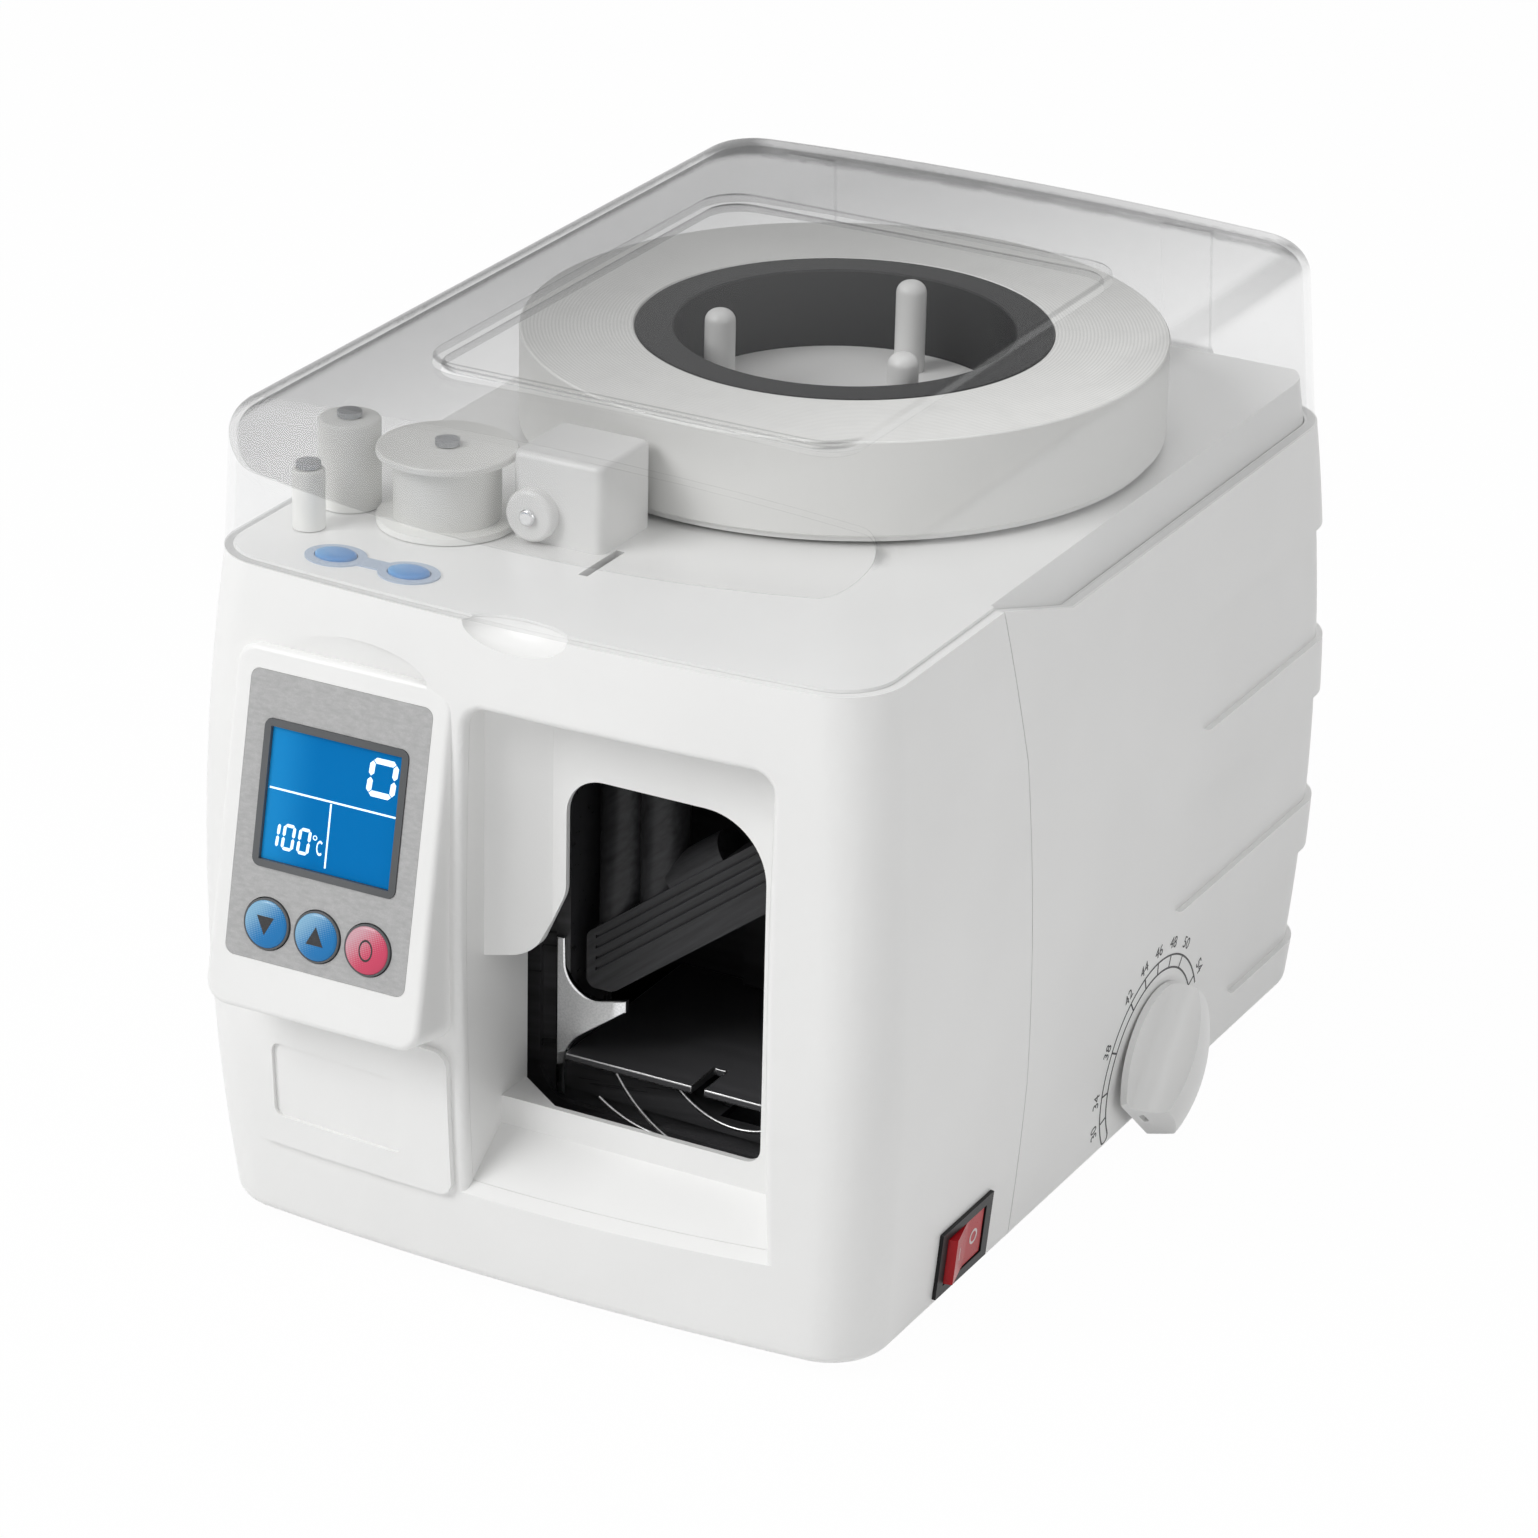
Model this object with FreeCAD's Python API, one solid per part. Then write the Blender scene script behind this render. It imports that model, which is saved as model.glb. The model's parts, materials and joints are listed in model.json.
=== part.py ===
import FreeCAD, Part
import math
import os

from FreeCAD import Vector

# Banknote strapping machine, in millimetres: +X to the right seen from the front,
# +Y towards the rear, +Z up.  The sizes below are measured from the middle of the
# moulded body; save_all() moves every piece so that the origin is the bottom centre.

# --- moulded body -------------------------------------------------------------
BODY_HALF_WIDTH = 110.0      # at the foot and at the parting line
SIDE_BARREL = 6.0            # how far the sides bulge at mid height
BODY_FRONT = 149.0           # front face ahead of the middle, at the foot
FRONT_LEAN = 3.0             # how far the front leans out from foot to parting line
FRONT_BARREL = 5.5
FRONT_PLAN_RADIUS = 1000.0   # the front is bowed in plan
BODY_REAR = 173.0
REAR_LEAN = 5.0              # how far the rear leans in from foot to parting line
REAR_BARREL = 4.5
CORNER_RADIUS = 20.0
BODY_FOOT = 4.0              # height of the body's lower edge
FOOT_EDGE_RADIUS = 5.0
BODY_WALL = 4.0
PARTING_FRONT = 216.0        # height of the line between body and dust cover
PARTING_DROP = 13.5          # how far the line lies lower at the rear
PARTING_REAR = PARTING_FRONT - PARTING_DROP
PARTING_STEP_START = -67.0   # where the line starts to fall towards the rear
PARTING_STEP_END = -23.5
SEAM_MIDDLE = (-56.0, 166.0)  # seam between front and rear housing, as y and z
SEAM_LOW = -48.0
SEAM_GAP = 0.4
SECTION_COUNT = 5

# --- dust cover ---------------------------------------------------------------
COVER_WALL = 2.5
COVER_GAP = 0.3              # cover edge above the body's rim
COVER_HALF_WIDTH_LOW = 111.0
COVER_HALF_WIDTH_TOP = 107.5
COVER_FRONT = 152.0
COVER_REAR_LOW = 168.8
COVER_REAR_TOP = 164.3
COVER_FRONT_WALL = 24.0      # upright part of the front wall
COVER_CREASE = PARTING_FRONT + COVER_FRONT_WALL
COVER_SLOPE_RUN = 20.0
COVER_SLOPE_RISE = 22.0
COVER_HEIGHT = 45.0          # from the parting line to the top's side edges
COVER_EDGE_TOP = PARTING_FRONT + COVER_HEIGHT
COVER_CROWN = 3.0
COVER_EDGE_RADIUS = 11.0
PLATEAU_HALF_WIDTH = 71.0
PLATEAU_FRONT = -92.0
PLATEAU_REAR = 93.0
PLATEAU_RISE = 2.2
PLATEAU_CORNER = 14.0
PLATEAU_EDGE = 1.6

# --- cover hinge --------------------------------------------------------------
HINGE_Y = 172.8
HINGE_RISE = 5.5             # above the rear parting line
HINGE_Z = PARTING_REAR + HINGE_RISE
HINGE_PIN_RADIUS = 1.5
HINGE_FIT = 0.05
HINGE_KNUCKLE_RADIUS = 3.5
HINGE_LEAF_WIDTH = 17.0
HINGE_LEAF_DROP = 6.0        # leaf's upper end below the cover's edge
HINGE_LEAF_TOP = COVER_EDGE_TOP - HINGE_LEAF_DROP
HINGE_LEAF_PROUD = 2.0
HINGE_EAR_WIDTH = 5.0
HINGE_EAR_GAP = 0.3
HINGE_CENTRES = (-77.0, 58.0)

# --- base and feet ------------------------------------------------------------
BASE_THICKNESS = 2.0
BASE_GAP = 0.3
FOOT_RADIUS = 9.0
FOOT_SPACING_X = 170.0
FOOT_FRONT = -118.0
FOOT_REAR = 138.0
FOOT_BORE = 4.0
FOOT_SCREW_RADIUS = 2.0
FOOT_SCREW_HEAD_RADIUS = 3.6
FOOT_SCREW_HEAD = 2.0
SCREW_CLEARANCE = 0.1

# --- tape deck ----------------------------------------------------------------
DECK_RISE = 1.0              # deck above the parting line
DECK_TOP = PARTING_FRONT + DECK_RISE
DECK_THICKNESS = 3.0
DECK_INSET = 4.4
DECK_REAR_INSET = 9.0
DECK_SKIRT_DROP = 6.0        # skirt below the rear parting line
DECK_SKIRT_WALL = 2.0
DECK_RIM_INSET = 3.0
DECK_RIM_GAP = 0.1
SCOOP_X = -1.6
SCOOP_HALF_WIDTH = 17.0
SCOOP_DEPTH = 8.0
SCOOP_DROP = 7.0
SCOOP_WALL = 2.5

# --- reel ---------------------------------------------------------------------
REEL_X = 2.5
REEL_Y = 38.0
TURNTABLE_RADIUS = 97.0
TURNTABLE_THICKNESS = 1.7
TURNTABLE_LIFT = 1.3         # turntable plate above the deck
RUNNING_FIT = 0.05
AXIAL_GAP = 0.3
TAPE_WIDTH = 20.0
TAPE_STACK_HEIGHT = 29.7
TAPE_STACK_BOTTOM = DECK_TOP + TURNTABLE_LIFT + TURNTABLE_THICKNESS + AXIAL_GAP
TAPE_STACK_TOP = TAPE_STACK_BOTTOM + TAPE_STACK_HEIGHT
ROLL_RADIUS = 99.0
CORE_OUTER_RADIUS = 64.0
CORE_INNER_RADIUS = 52.3
HUB_RADIUS = 52.0
HUB_HEIGHT = 8.0             # hub floor above the deck
HUB_FLOOR = DECK_TOP + HUB_HEIGHT
PEG_RADIUS = 4.75
PEG_CIRCLE = 38.0
PEG_HEIGHT = 29.0
PEG_TOP = HUB_FLOOR + PEG_HEIGHT
PEG_COUNT = 3
PEG_START = 85.0
SPINDLE_RADIUS = 6.0
SPINDLE_HEIGHT = 5.0
SPINDLE_TOP = DECK_TOP + SPINDLE_HEIGHT
SPINDLE_COLLAR_RADIUS = 12.0

# --- rollers on the deck ------------------------------------------------------
POST_ROLLER_INSET = 15.5     # from the cover's top side edge
POST_ROLLER_X = POST_ROLLER_INSET - COVER_HALF_WIDTH_TOP
POST_ROLLER_Y = -94.0
POST_ROLLER_RADIUS = 9.35
POST_ROLLER_HEIGHT = 27.6    # above the deck, as for the other two
SMALL_ROLLER_Y = -116.5
SMALL_ROLLER_RADIUS = 4.9
SMALL_ROLLER_HEIGHT = 19.0
PULLEY_SPACING = 31.7        # across the machine from the post roller
PULLEY_X = POST_ROLLER_X + PULLEY_SPACING
PULLEY_Y = -91.0
PULLEY_RADIUS = 16.0
PULLEY_FLANGE_RADIUS = 21.0
PULLEY_FLANGE = 2.0
PULLEY_EDGE = 0.8
PULLEY_HEIGHT = 24.0
ROLLER_PIN_RADIUS = 2.5
ROLLER_CAP = 1.6

# --- tape guide block ---------------------------------------------------------
GUIDE_PULLEY_GAP = 1.3
GUIDE_X = (PULLEY_X + PULLEY_FLANGE_RADIUS + GUIDE_PULLEY_GAP, -7.5)
GUIDE_Y = (-92.0, -63.0)
GUIDE_HEIGHT = 27.0
GUIDE_EDGE = 3.0
GUIDE_BOSS_INSET = 8.0
GUIDE_BOSS_X = GUIDE_X[0] + GUIDE_BOSS_INSET
GUIDE_BOSS_RISE = 9.0        # boss axis above the deck
GUIDE_BOSS_Z = DECK_TOP + GUIDE_BOSS_RISE
GUIDE_BOSS_RADIUS = 8.0
GUIDE_BOSS_PROUD = 4.0
GUIDE_SCREW_RADIUS = 2.6
TAPE_SLOT_X = -5.0
TAPE_SLOT_WIDTH = 3.0
TAPE_PLANE_Y = -96.5         # middle of the strap

# --- feed keys on the deck ----------------------------------------------------
FEED_KEY_PLACES = (("feed_key", -73.0, -132.0), ("retract_key", -48.0, -132.5))
FEED_KEY_HALF_X = 6.5
FEED_KEY_HALF_Y = 5.0
FEED_SURROUND_MARGIN = 3.0
FEED_SURROUND_PROUD = 0.5
FEED_KEY_PROUD = 1.6
KEY_TRAVEL = 0.8
KEY_GAP = 0.3

# --- console ------------------------------------------------------------------
CONSOLE_X = -56.9
CONSOLE_Y = -162.95
CONSOLE_DROP = 70.5          # panel's middle below the parting line
CONSOLE_Z = PARTING_FRONT - CONSOLE_DROP
CONSOLE_SLOPE = 0.2012       # forward fall of the panel per unit of height
POD_HALF_WIDTH = 36.5
POD_TOP = 50.0               # above the panel's middle, along its slope
POD_BOTTOM = -59.0
POD_CORNER = 7.0
POD_EDGE = 2.0
POD_WALL = 3.0
POD_DEPTH = 46.0
BROW_X = -59.5               # shallow dish in the front wall over the pod
BROW_Z = 191.0
BROW_HALF_WIDTH = 37.0
BROW_HALF_HEIGHT = 11.5
BROW_DEPTH = 2.2
OVERLAY_HALF_WIDTH = 30.6
OVERLAY_HALF_HEIGHT = 43.0
OVERLAY_CORNER = 3.0
OVERLAY_THICKNESS = 0.6
FILM_GAP = 0.1
LCD_HALF_WIDTH = 24.3
LCD_BOTTOM = -14.9
LCD_TOP = 29.3
LCD_CORNER = 2.6
LCD_GLASS_MARGIN = 2.2
LCD_BEZEL_PROUD = 0.4
LCD_BEZEL_DEPTH = 4.0
LCD_GLASS_RECESS = 0.8
LCD_MODULE_DEPTH = 7.0
BUTTON_RADIUS = 7.75
BUTTON_PITCH = 17.2
BUTTON_V = -31.5
BUTTON_PROUD = 1.4
BUTTON_FLANGE = 1.2
BUTTON_FLANGE_REACH = 0.65
BUTTON_NAMES = ("key_down", "key_up", "key_reset")
BOARD_DEPTH = 12.0
BOARD_THICKNESS = 1.6

# --- plain raised panel under the console -------------------------------------
LOWER_PANEL_X = (-93.0, -21.0)
LOWER_PANEL_Z = (32.0, 80.5)
LOWER_PANEL_RISE = 2.0
LOWER_RECESS_X = (-84.0, -38.0)
LOWER_RECESS_Z = (42.0, 67.0)
LOWER_RECESS_DEPTH = 1.2
PANEL_CORNER = 5.0

# --- recesses along the sides -------------------------------------------------
SIDE_RECESS_DEPTH = 2.0
SIDE_RECESSES = ((62.0, 129.0, 168.0), (49.0, 72.0, 110.0), (102.0, 21.0, 55.0))
SIDE_RECESS_ROUND = 11.0
SIDE_RECESS_REAR_HALF = 62.0

# --- note slot ----------------------------------------------------------------
RECESS_LEFT = -17.0
RECESS_RIGHT = 81.0
RECESS_DROP = 26.0           # recess top below the parting line
RECESS_TOP = PARTING_FRONT - RECESS_DROP
RECESS_FOOT = 33.5
RECESS_CORNER = 7.0
RECESS_EDGE = 2.5            # round of the recess mouth
LINER_GAP = 0.15
LINER_WALL = 2.0
FASCIA_Y = -132.0
LEDGE_TOP = 48.5
FLARE_RUN = 10.0             # fascia's left part comes forward by this
FLARE_WIDTH = 17.0
WINDOW_LEFT = 4.5
WINDOW_RIGHT = 70.0
WINDOW_TOP = 166.0
WINDOW_FOOT = 57.5
WINDOW_POCKET_TOP = 107.5    # opening below this reaches the recess's left wall
WINDOW_CURVE_WIDTH = 9.5
WINDOW_CURVE_HEIGHT = 21.0
POCKET_DEPTH = 15.0          # left wall behind the fascia, beside the pocket
POCKET_SHELF_WIDTH = 20.0

# --- note chamber -------------------------------------------------------------
TABLE_TOP = 64.2
TABLE_THICKNESS = 2.4
TABLE_SLOT = (35.0, 39.0)
TABLE_SLOT_LENGTH = 14.0
TABLE_FRONT = -110.0
CHAMBER_LEFT = -26.0
CHAMBER_RIGHT = 76.0
CHAMBER_TOP = 169.0
CHAMBER_REAR = -36.0
CHAMBER_WALL = 2.0
PLATE_Y = -84.0              # front face of the chassis plate
PLATE_THICKNESS = 2.5
PLATE_MARGIN = 6.0           # beyond the chamber at each side
PLATE_FLANGE = 16.0
PLATE_FLANGE_THICKNESS = 2.0
PLATE_BRIDGE = 3.0           # window's upper edge below the chamber roof
PLATE_DROP = 7.0             # plate's upper edge below the parting line
PLATE_TOP = PARTING_FRONT - PLATE_DROP
TRACK_FRONT = -106.5
TRACK_REAR = -86.5
TRACK_COLUMN = -8.5
TRACK_FOOT = 40.0
TRACK_FLOOR = 52.6
TRACK_CURVE_X = 46.0
TRACK_GROOVE = (10.3, 4.7)   # sides of the groove left of the column's edge
DEFLECTOR_THICKNESS = 1.8
DEFLECTOR_BAR = (-12.5, -9.5)
DEFLECTOR_Z = (49.0, 101.0)
DEFLECTOR_TIP = (11.5, 83.4)
DEFLECTOR_EDGE = 0.7

UPPER_GUIDE_FOOT = 86.0
UPPER_GUIDE_HEIGHT = 17.5
UPPER_GUIDE_NOSE = 9.0       # level part of its lower edge
UPPER_GUIDE_TILT = 37.0
GUIDE_RIB_COUNT = 4
GUIDE_RIB_WIDTH = 1.0
GUIDE_RIB_DEPTH = 0.8
GUIDE_HEAD_RADIUS = 7.4
GUIDE_HEAD_SETBACK = 0.7     # heads behind the plate's front face
GUIDE_HEAD_PITCH = 13.6
GUIDE_HEAD_TOP = 160.0
GUIDE_SPINE_LENGTH = 22.0

# --- feed and press mechanism -------------------------------------------------
FEED_DROP = 31.5             # feed axes below the parting line
FEED_Z = PARTING_FRONT - FEED_DROP
FEED_ROLLER_RADIUS = 8.0
FEED_NIP = 0.3
MOTOR_RADIUS = 14.0
MOTOR_LENGTH = 42.0
MOTOR_SHAFT_RADIUS = 2.5
SHAFT_CLEARANCE = 0.5
MOTOR_BORE_DEPTH = 12.0
CAM_X = 48.0
CAM_Z = 22.0
CAM_LOW = 6.0
CAM_LIFT = 8.0
CAM_POINTS = 13
CAM_GAP = 0.5
PRESS_X = (41.0, 55.0)
PRESS_Y = (-102.0, -91.0)
PRESS_TOP = 51.0
PRESS_FOOT = 36.0
PRESS_GAP = 0.4

# --- strap position dial and note stop ----------------------------------------
DIAL_Y = 45.5
DIAL_Z = 26.5
KNOB_RADIUS = 25.0
KNOB_GAP = 0.5               # clear of the bulging side wall
KNOB_RIM = 7.3               # height of the knob at its rim
KNOB_HEIGHT = 13.4           # height of its domed middle
KNOB_SKIRT = 2.2             # what the thumb scoop leaves at the rim
KNOB_EDGE = 0.8
KNOB_RIDGE = 2.3             # ridge beside the axis
KNOB_SCOOP_RADIUS = 11.0
KNOB_FACET = 20.5            # end facet from the axis, at the knob's foot
KNOB_FACET_LEAN = 0.41
KNOB_POINTER = 48.0          # direction of the ridge from +Y, in degrees
KNOB_SLOT = (6.0, 1.6, 3.0)  # slot in the facet: length, width, depth
DIAL_SHAFT_RADIUS = 3.0
PINION_TEETH = 20
PINION_PITCH_RADIUS = 8.3333
PINION_INSET = 16.3          # pinion and rack inside the side wall
PINION_WIDTH = 8.0
PRESSURE_ANGLE = 20.0
TOOTH_BACKLASH = 0.2
RACK_Y = (28.0, 86.0)
RACK_HEIGHT = 8.0
STOP_FACE = 43.8             # stop face in front of the body's middle, at rest
STOP_THICKNESS = 3.0
STOP_X = (16.0, 66.0)
STOP_Z = (65.2, 92.0)
STOP_ROD_RADIUS = 3.0
STOP_ROD_X = 60.0
STOP_ROD_Z = 78.0
BRACKET_THICKNESS = 3.0
BRACKET_SETBACK = 3.0        # between bracket and pinion
BRACKET_HALF_LENGTH = 9.0

# --- power switch and inlet ---------------------------------------------------
SWITCH_Y = -82.5
SWITCH_Z = 20.0
SWITCH_HALF_LENGTH = 14.5
SWITCH_HALF_HEIGHT = 10.0
SWITCH_FLANGE = 2.0
SWITCH_DEPTH = 16.0
ROCKER_GAP = 0.4
ROCKER_TILT = 7.0            # either way from the middle; it rests tilted
ROCKER_AXIS_DEPTH = 2.0      # hinge line below the side wall's surface
ROCKER_EDGE = 2.4
ROCKER_HOLLOW = 0.9
ROCKER_BODY_DEPTH = 4.5
INLET_X = -62.0
INLET_Z = 42.0
INLET_HALF_WIDTH = 14.0
INLET_HALF_HEIGHT = 10.2
INLET_FLANGE_HALF = 25.0
INLET_DEPTH = 18.0
VENT_COUNT = 8
VENT_PITCH = 8.0
VENT_WIDTH = 3.0
VENT_X = 25.0
VENT_Z = (62.0, 112.0)

# --- electrics on the base plate ----------------------------------------------
TRANSFORMER_X = (-66.0, -10.0)
TRANSFORMER_Y = (70.0, 118.0)
TRANSFORMER_HEIGHT = 52.0
MAIN_BOARD_X = (-95.0, -25.0)
MAIN_BOARD_Y = (-60.0, 50.0)
MAIN_BOARD_Z = 14.0

PIECES = {}


# --- shared helpers -----------------------------------------------------------
def keep(name, shape):
    """Store the finished piece under its node name."""
    PIECES[name] = shape.removeSplitter() if shape.ShapeType != "Compound" else shape


def at(axis, along, u, v):
    """Point at u, v in the plane that stands square to the axis."""
    if axis == "x":
        return Vector(along, u, v)
    if axis == "y":
        return Vector(u, along, v)
    return Vector(u, v, along)


def outline(corners, axis, along):
    """Closed wire through (u, v, radius) corners, each rounded by its radius."""
    count = len(corners)
    stops = []
    for index, (u, v, radius) in enumerate(corners):
        here = Vector(u, v, 0)
        before = (Vector(*corners[index - 1][:2], 0) - here).normalize()
        after = (Vector(*corners[(index + 1) % count][:2], 0) - here).normalize()
        if radius == 0:
            stops.append((here, here, here))
            continue
        half = before.getAngle(after) / 2
        reach = radius / math.tan(half)
        middle = (before + after).normalize() * (radius / math.sin(half) - radius)
        stops.append((here + before * reach, here + middle, here + after * reach))
    edges = []
    for index, (start, middle, end) in enumerate(stops):
        if (end - start).Length > 1e-6:
            arc = Part.Arc(*[at(axis, along, p.x, p.y) for p in (start, middle, end)])
            edges.append(arc.toShape())
        following = stops[(index + 1) % count][0]
        if (following - end).Length > 1e-6:
            ends = [at(axis, along, p.x, p.y) for p in (end, following)]
            edges.append(Part.LineSegment(*ends).toShape())
    return Part.Wire(edges)


def prism(corners, axis, start, end):
    """Solid with a rounded outline, drawn out along the axis."""
    face = Part.Face(outline(corners, axis, start))
    return face.extrude(at(axis, end - start, 0, 0))


def rectangle(u0, u1, v0, v1, radius=0.0):
    """Corners of a rectangle, all rounded alike."""
    return [(u0, v0, radius), (u1, v0, radius), (u1, v1, radius), (u0, v1, radius)]


def block(x_span, y_span, z_span):
    """Plain box between two corners."""
    low = Vector(x_span[0], y_span[0], z_span[0])
    return Part.makeBox(x_span[1] - x_span[0], y_span[1] - y_span[0],
                        z_span[1] - z_span[0], low)


def rod(radius, axis, centre, start, end):
    """Cylinder along the axis, at u, v, between two stations."""
    return Part.makeCylinder(radius, end - start, at(axis, start, *centre),
                             at(axis, 1, 0, 0))


def edges_where(shape, test):
    """Edges of the shape whose middle point passes the test."""
    found = []
    for edge in shape.Edges:
        middle = edge.valueAt((edge.FirstParameter + edge.LastParameter) / 2)
        if test(edge, middle):
            found.append(edge)
    return found


def round_ends(shape, axis, station, radius):
    """Round the edges that lie in one plane square to the axis."""
    def lies_there(edge, _middle):
        return all(abs(getattr(v.Point, axis) - station) < 1e-4 for v in edge.Vertexes)
    return shape.makeFillet(radius, edges_where(shape, lies_there))


# --- moulded body -------------------------------------------------------------
def plan_wire(z, half_width, front, rear, corner, bow):
    """Plan section: bowed front, straight sides and rear, round corners."""
    middle_y = bow - front
    centre_x = half_width - corner
    centre_y = middle_y - math.sqrt((bow - corner) ** 2 - centre_x ** 2)
    grow = bow / (bow - corner)
    tangent = Vector(centre_x * grow, middle_y + (centre_y - middle_y) * grow, z)
    lean = math.atan2(tangent.y - centre_y, tangent.x - centre_x) / 2
    corner_mid = Vector(centre_x + corner * math.cos(lean),
                        centre_y + corner * math.sin(lean), z)
    side_front = Vector(half_width, centre_y, z)
    side_rear = Vector(half_width, rear - corner, z)
    turn = corner * math.sqrt(0.5)
    rear_mid = Vector(centre_x + turn, rear - corner + turn, z)
    rear_end = Vector(centre_x, rear, z)

    def mirrored(point):
        return Vector(-point.x, point.y, point.z)

    return Part.Wire([
        Part.Arc(mirrored(tangent), Vector(0, -front, z), tangent).toShape(),
        Part.Arc(tangent, corner_mid, side_front).toShape(),
        Part.LineSegment(side_front, side_rear).toShape(),
        Part.Arc(side_rear, rear_mid, rear_end).toShape(),
        Part.LineSegment(rear_end, mirrored(rear_end)).toShape(),
        Part.Arc(mirrored(rear_end), mirrored(rear_mid), mirrored(side_rear)).toShape(),
        Part.LineSegment(mirrored(side_rear), mirrored(side_front)).toShape(),
        Part.Arc(mirrored(side_front), mirrored(corner_mid), mirrored(tangent)).toShape(),
    ])


def barrel(z):
    """Share of the full bulge at a height: none at foot and parting line."""
    half = (PARTING_FRONT - BODY_FOOT) / 2
    return 1 - ((z - BODY_FOOT - half) / half) ** 2


def rise(z):
    """Height as a share of the way from foot to parting line."""
    return (z - BODY_FOOT) / (PARTING_FRONT - BODY_FOOT)


def side_at(z):
    """Half width of the body at a height."""
    return BODY_HALF_WIDTH + SIDE_BARREL * barrel(z)


def front_at(z):
    """How far the front face stands ahead of the middle at a height."""
    return BODY_FRONT + FRONT_LEAN * rise(z) + FRONT_BARREL * barrel(z)


def rear_at(z):
    """How far the rear face stands behind the middle at a height."""
    return BODY_REAR - REAR_LEAN * rise(z) + REAR_BARREL * barrel(z)


def body_solid(inset, foot=BODY_FOOT, top=PARTING_FRONT):
    """Barrelled body as one solid, offset inwards by the inset."""
    sections = []
    for index in range(SECTION_COUNT):
        z = foot + (top - foot) * index / (SECTION_COUNT - 1)
        sections.append(plan_wire(z, side_at(z) - inset, front_at(z) - inset,
                                  rear_at(z) - inset, CORNER_RADIUS - inset,
                                  FRONT_PLAN_RADIUS - inset))
    return Part.makeLoft(sections, True, False)


def parting_region(lift):
    """Everything above the parting line, raised by the lift."""
    high = COVER_EDGE_TOP + 60
    reach = BODY_REAR + 40
    corners = [(-reach, PARTING_FRONT + lift, 0), (PARTING_STEP_START, PARTING_FRONT + lift, 0),
               (PARTING_STEP_END, PARTING_REAR + lift, 0), (reach, PARTING_REAR + lift, 0),
               (reach, high, 0), (-reach, high, 0)]
    return prism(corners, "x", -BODY_HALF_WIDTH - 40, BODY_HALF_WIDTH + 40)


def front_region(shift):
    """Everything in front of the housing seam."""
    reach = BODY_FRONT + 60
    corners = [(-reach, -10, 0), (SEAM_LOW + shift, -10, 0), (SEAM_LOW + shift, 60, 0),
               (SEAM_MIDDLE[0] + shift, SEAM_MIDDLE[1], 0),
               (PARTING_STEP_START + shift, PARTING_FRONT, 0),
               (PARTING_STEP_START + shift, PARTING_FRONT + 5, 0),
               (-reach, PARTING_FRONT + 5, 0)]
    return prism(corners, "x", -BODY_HALF_WIDTH - 40, BODY_HALF_WIDTH + 40)


def body_outer():
    """Outer form of the body with its rounded foot edge."""
    return round_ends(body_solid(0), "z", BODY_FOOT, FOOT_EDGE_RADIUS)


def body_cavity(inset=BODY_WALL):
    """Hollow of the body, open at the foot and at the parting line."""
    return body_solid(inset, BODY_FOOT - 3, PARTING_FRONT + 3)


def slope_place(shape):
    """Carry a piece from the console's own plane (x, up, outwards) to its place."""
    angle = math.degrees(math.atan2(1, CONSOLE_SLOPE))
    shape.rotate(Vector(), Vector(1, 0, 0), angle)
    shape.translate(Vector(CONSOLE_X, CONSOLE_Y, CONSOLE_Z))
    return shape


def console_pod(inset):
    """Wedge that carries the console, offset inwards by the inset."""
    corners = rectangle(-POD_HALF_WIDTH + inset, POD_HALF_WIDTH - inset,
                        POD_BOTTOM + inset, POD_TOP - inset, POD_CORNER - inset / 2)
    pod = prism(corners, "z", -POD_DEPTH, -inset)
    return slope_place(round_ends(pod, "z", -inset, POD_EDGE))


def recess_corners(grow=0.0):
    """Outline of the note recess in the front face, grown by a wall."""
    left, right = RECESS_LEFT - grow, RECESS_RIGHT + grow
    foot, top = RECESS_FOOT - grow, RECESS_TOP + grow
    return [(left, foot, 0), (right, foot, 0), (right, top, RECESS_CORNER + grow),
            (left, top, RECESS_CORNER + grow)]


def ledge_ramp():
    """Everything under the ledge that rises from the recess mouth to the fascia."""
    mouth = -front_at(RECESS_FOOT)
    slope = (LEDGE_TOP - RECESS_FOOT) / (FASCIA_Y - mouth)
    start, end = mouth - BODY_WALL, FASCIA_Y + LINER_WALL
    low = RECESS_FOOT - 2 * BODY_WALL
    return prism([(start, RECESS_FOOT - slope * BODY_WALL, 0),
                  (end, LEDGE_TOP + slope * LINER_WALL, 0), (end, low, 0), (start, low, 0)],
                 "x", RECESS_LEFT - 2 * LINER_WALL, RECESS_RIGHT + 2 * LINER_WALL)


def recess_rim(shape):
    """Edges at the sides and top of the recess mouth, on the front face."""
    def on_mouth(_edge, middle):
        bow = middle.x ** 2 / 2 / FRONT_PLAN_RADIUS
        return (RECESS_LEFT - 1 < middle.x < RECESS_RIGHT + 1
                and LEDGE_TOP < middle.z < RECESS_TOP + 1
                and middle.y < bow - front_at(middle.z) + 1)
    return edges_where(shape, on_mouth)


def dish(centre, half_x, half_y, half_z):
    """Ellipsoid that sinks a shallow dish into a wall."""
    ball = Part.makeSphere(1.0)
    stretch = FreeCAD.Matrix()
    stretch.scale(half_x, half_y, half_z)
    ball = ball.transformGeometry(stretch)
    ball.translate(centre)
    return ball


def switch_place(shape):
    """Carry a piece from the switch's own plane to the leaning side wall."""
    lean = math.degrees(math.atan2(side_at(SWITCH_Z + 5) - side_at(SWITCH_Z - 5), 10))
    shape.rotate(Vector(), Vector(0, 1, 0), lean)
    shape.translate(Vector(side_at(SWITCH_Z), SWITCH_Y, SWITCH_Z))
    return shape


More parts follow.
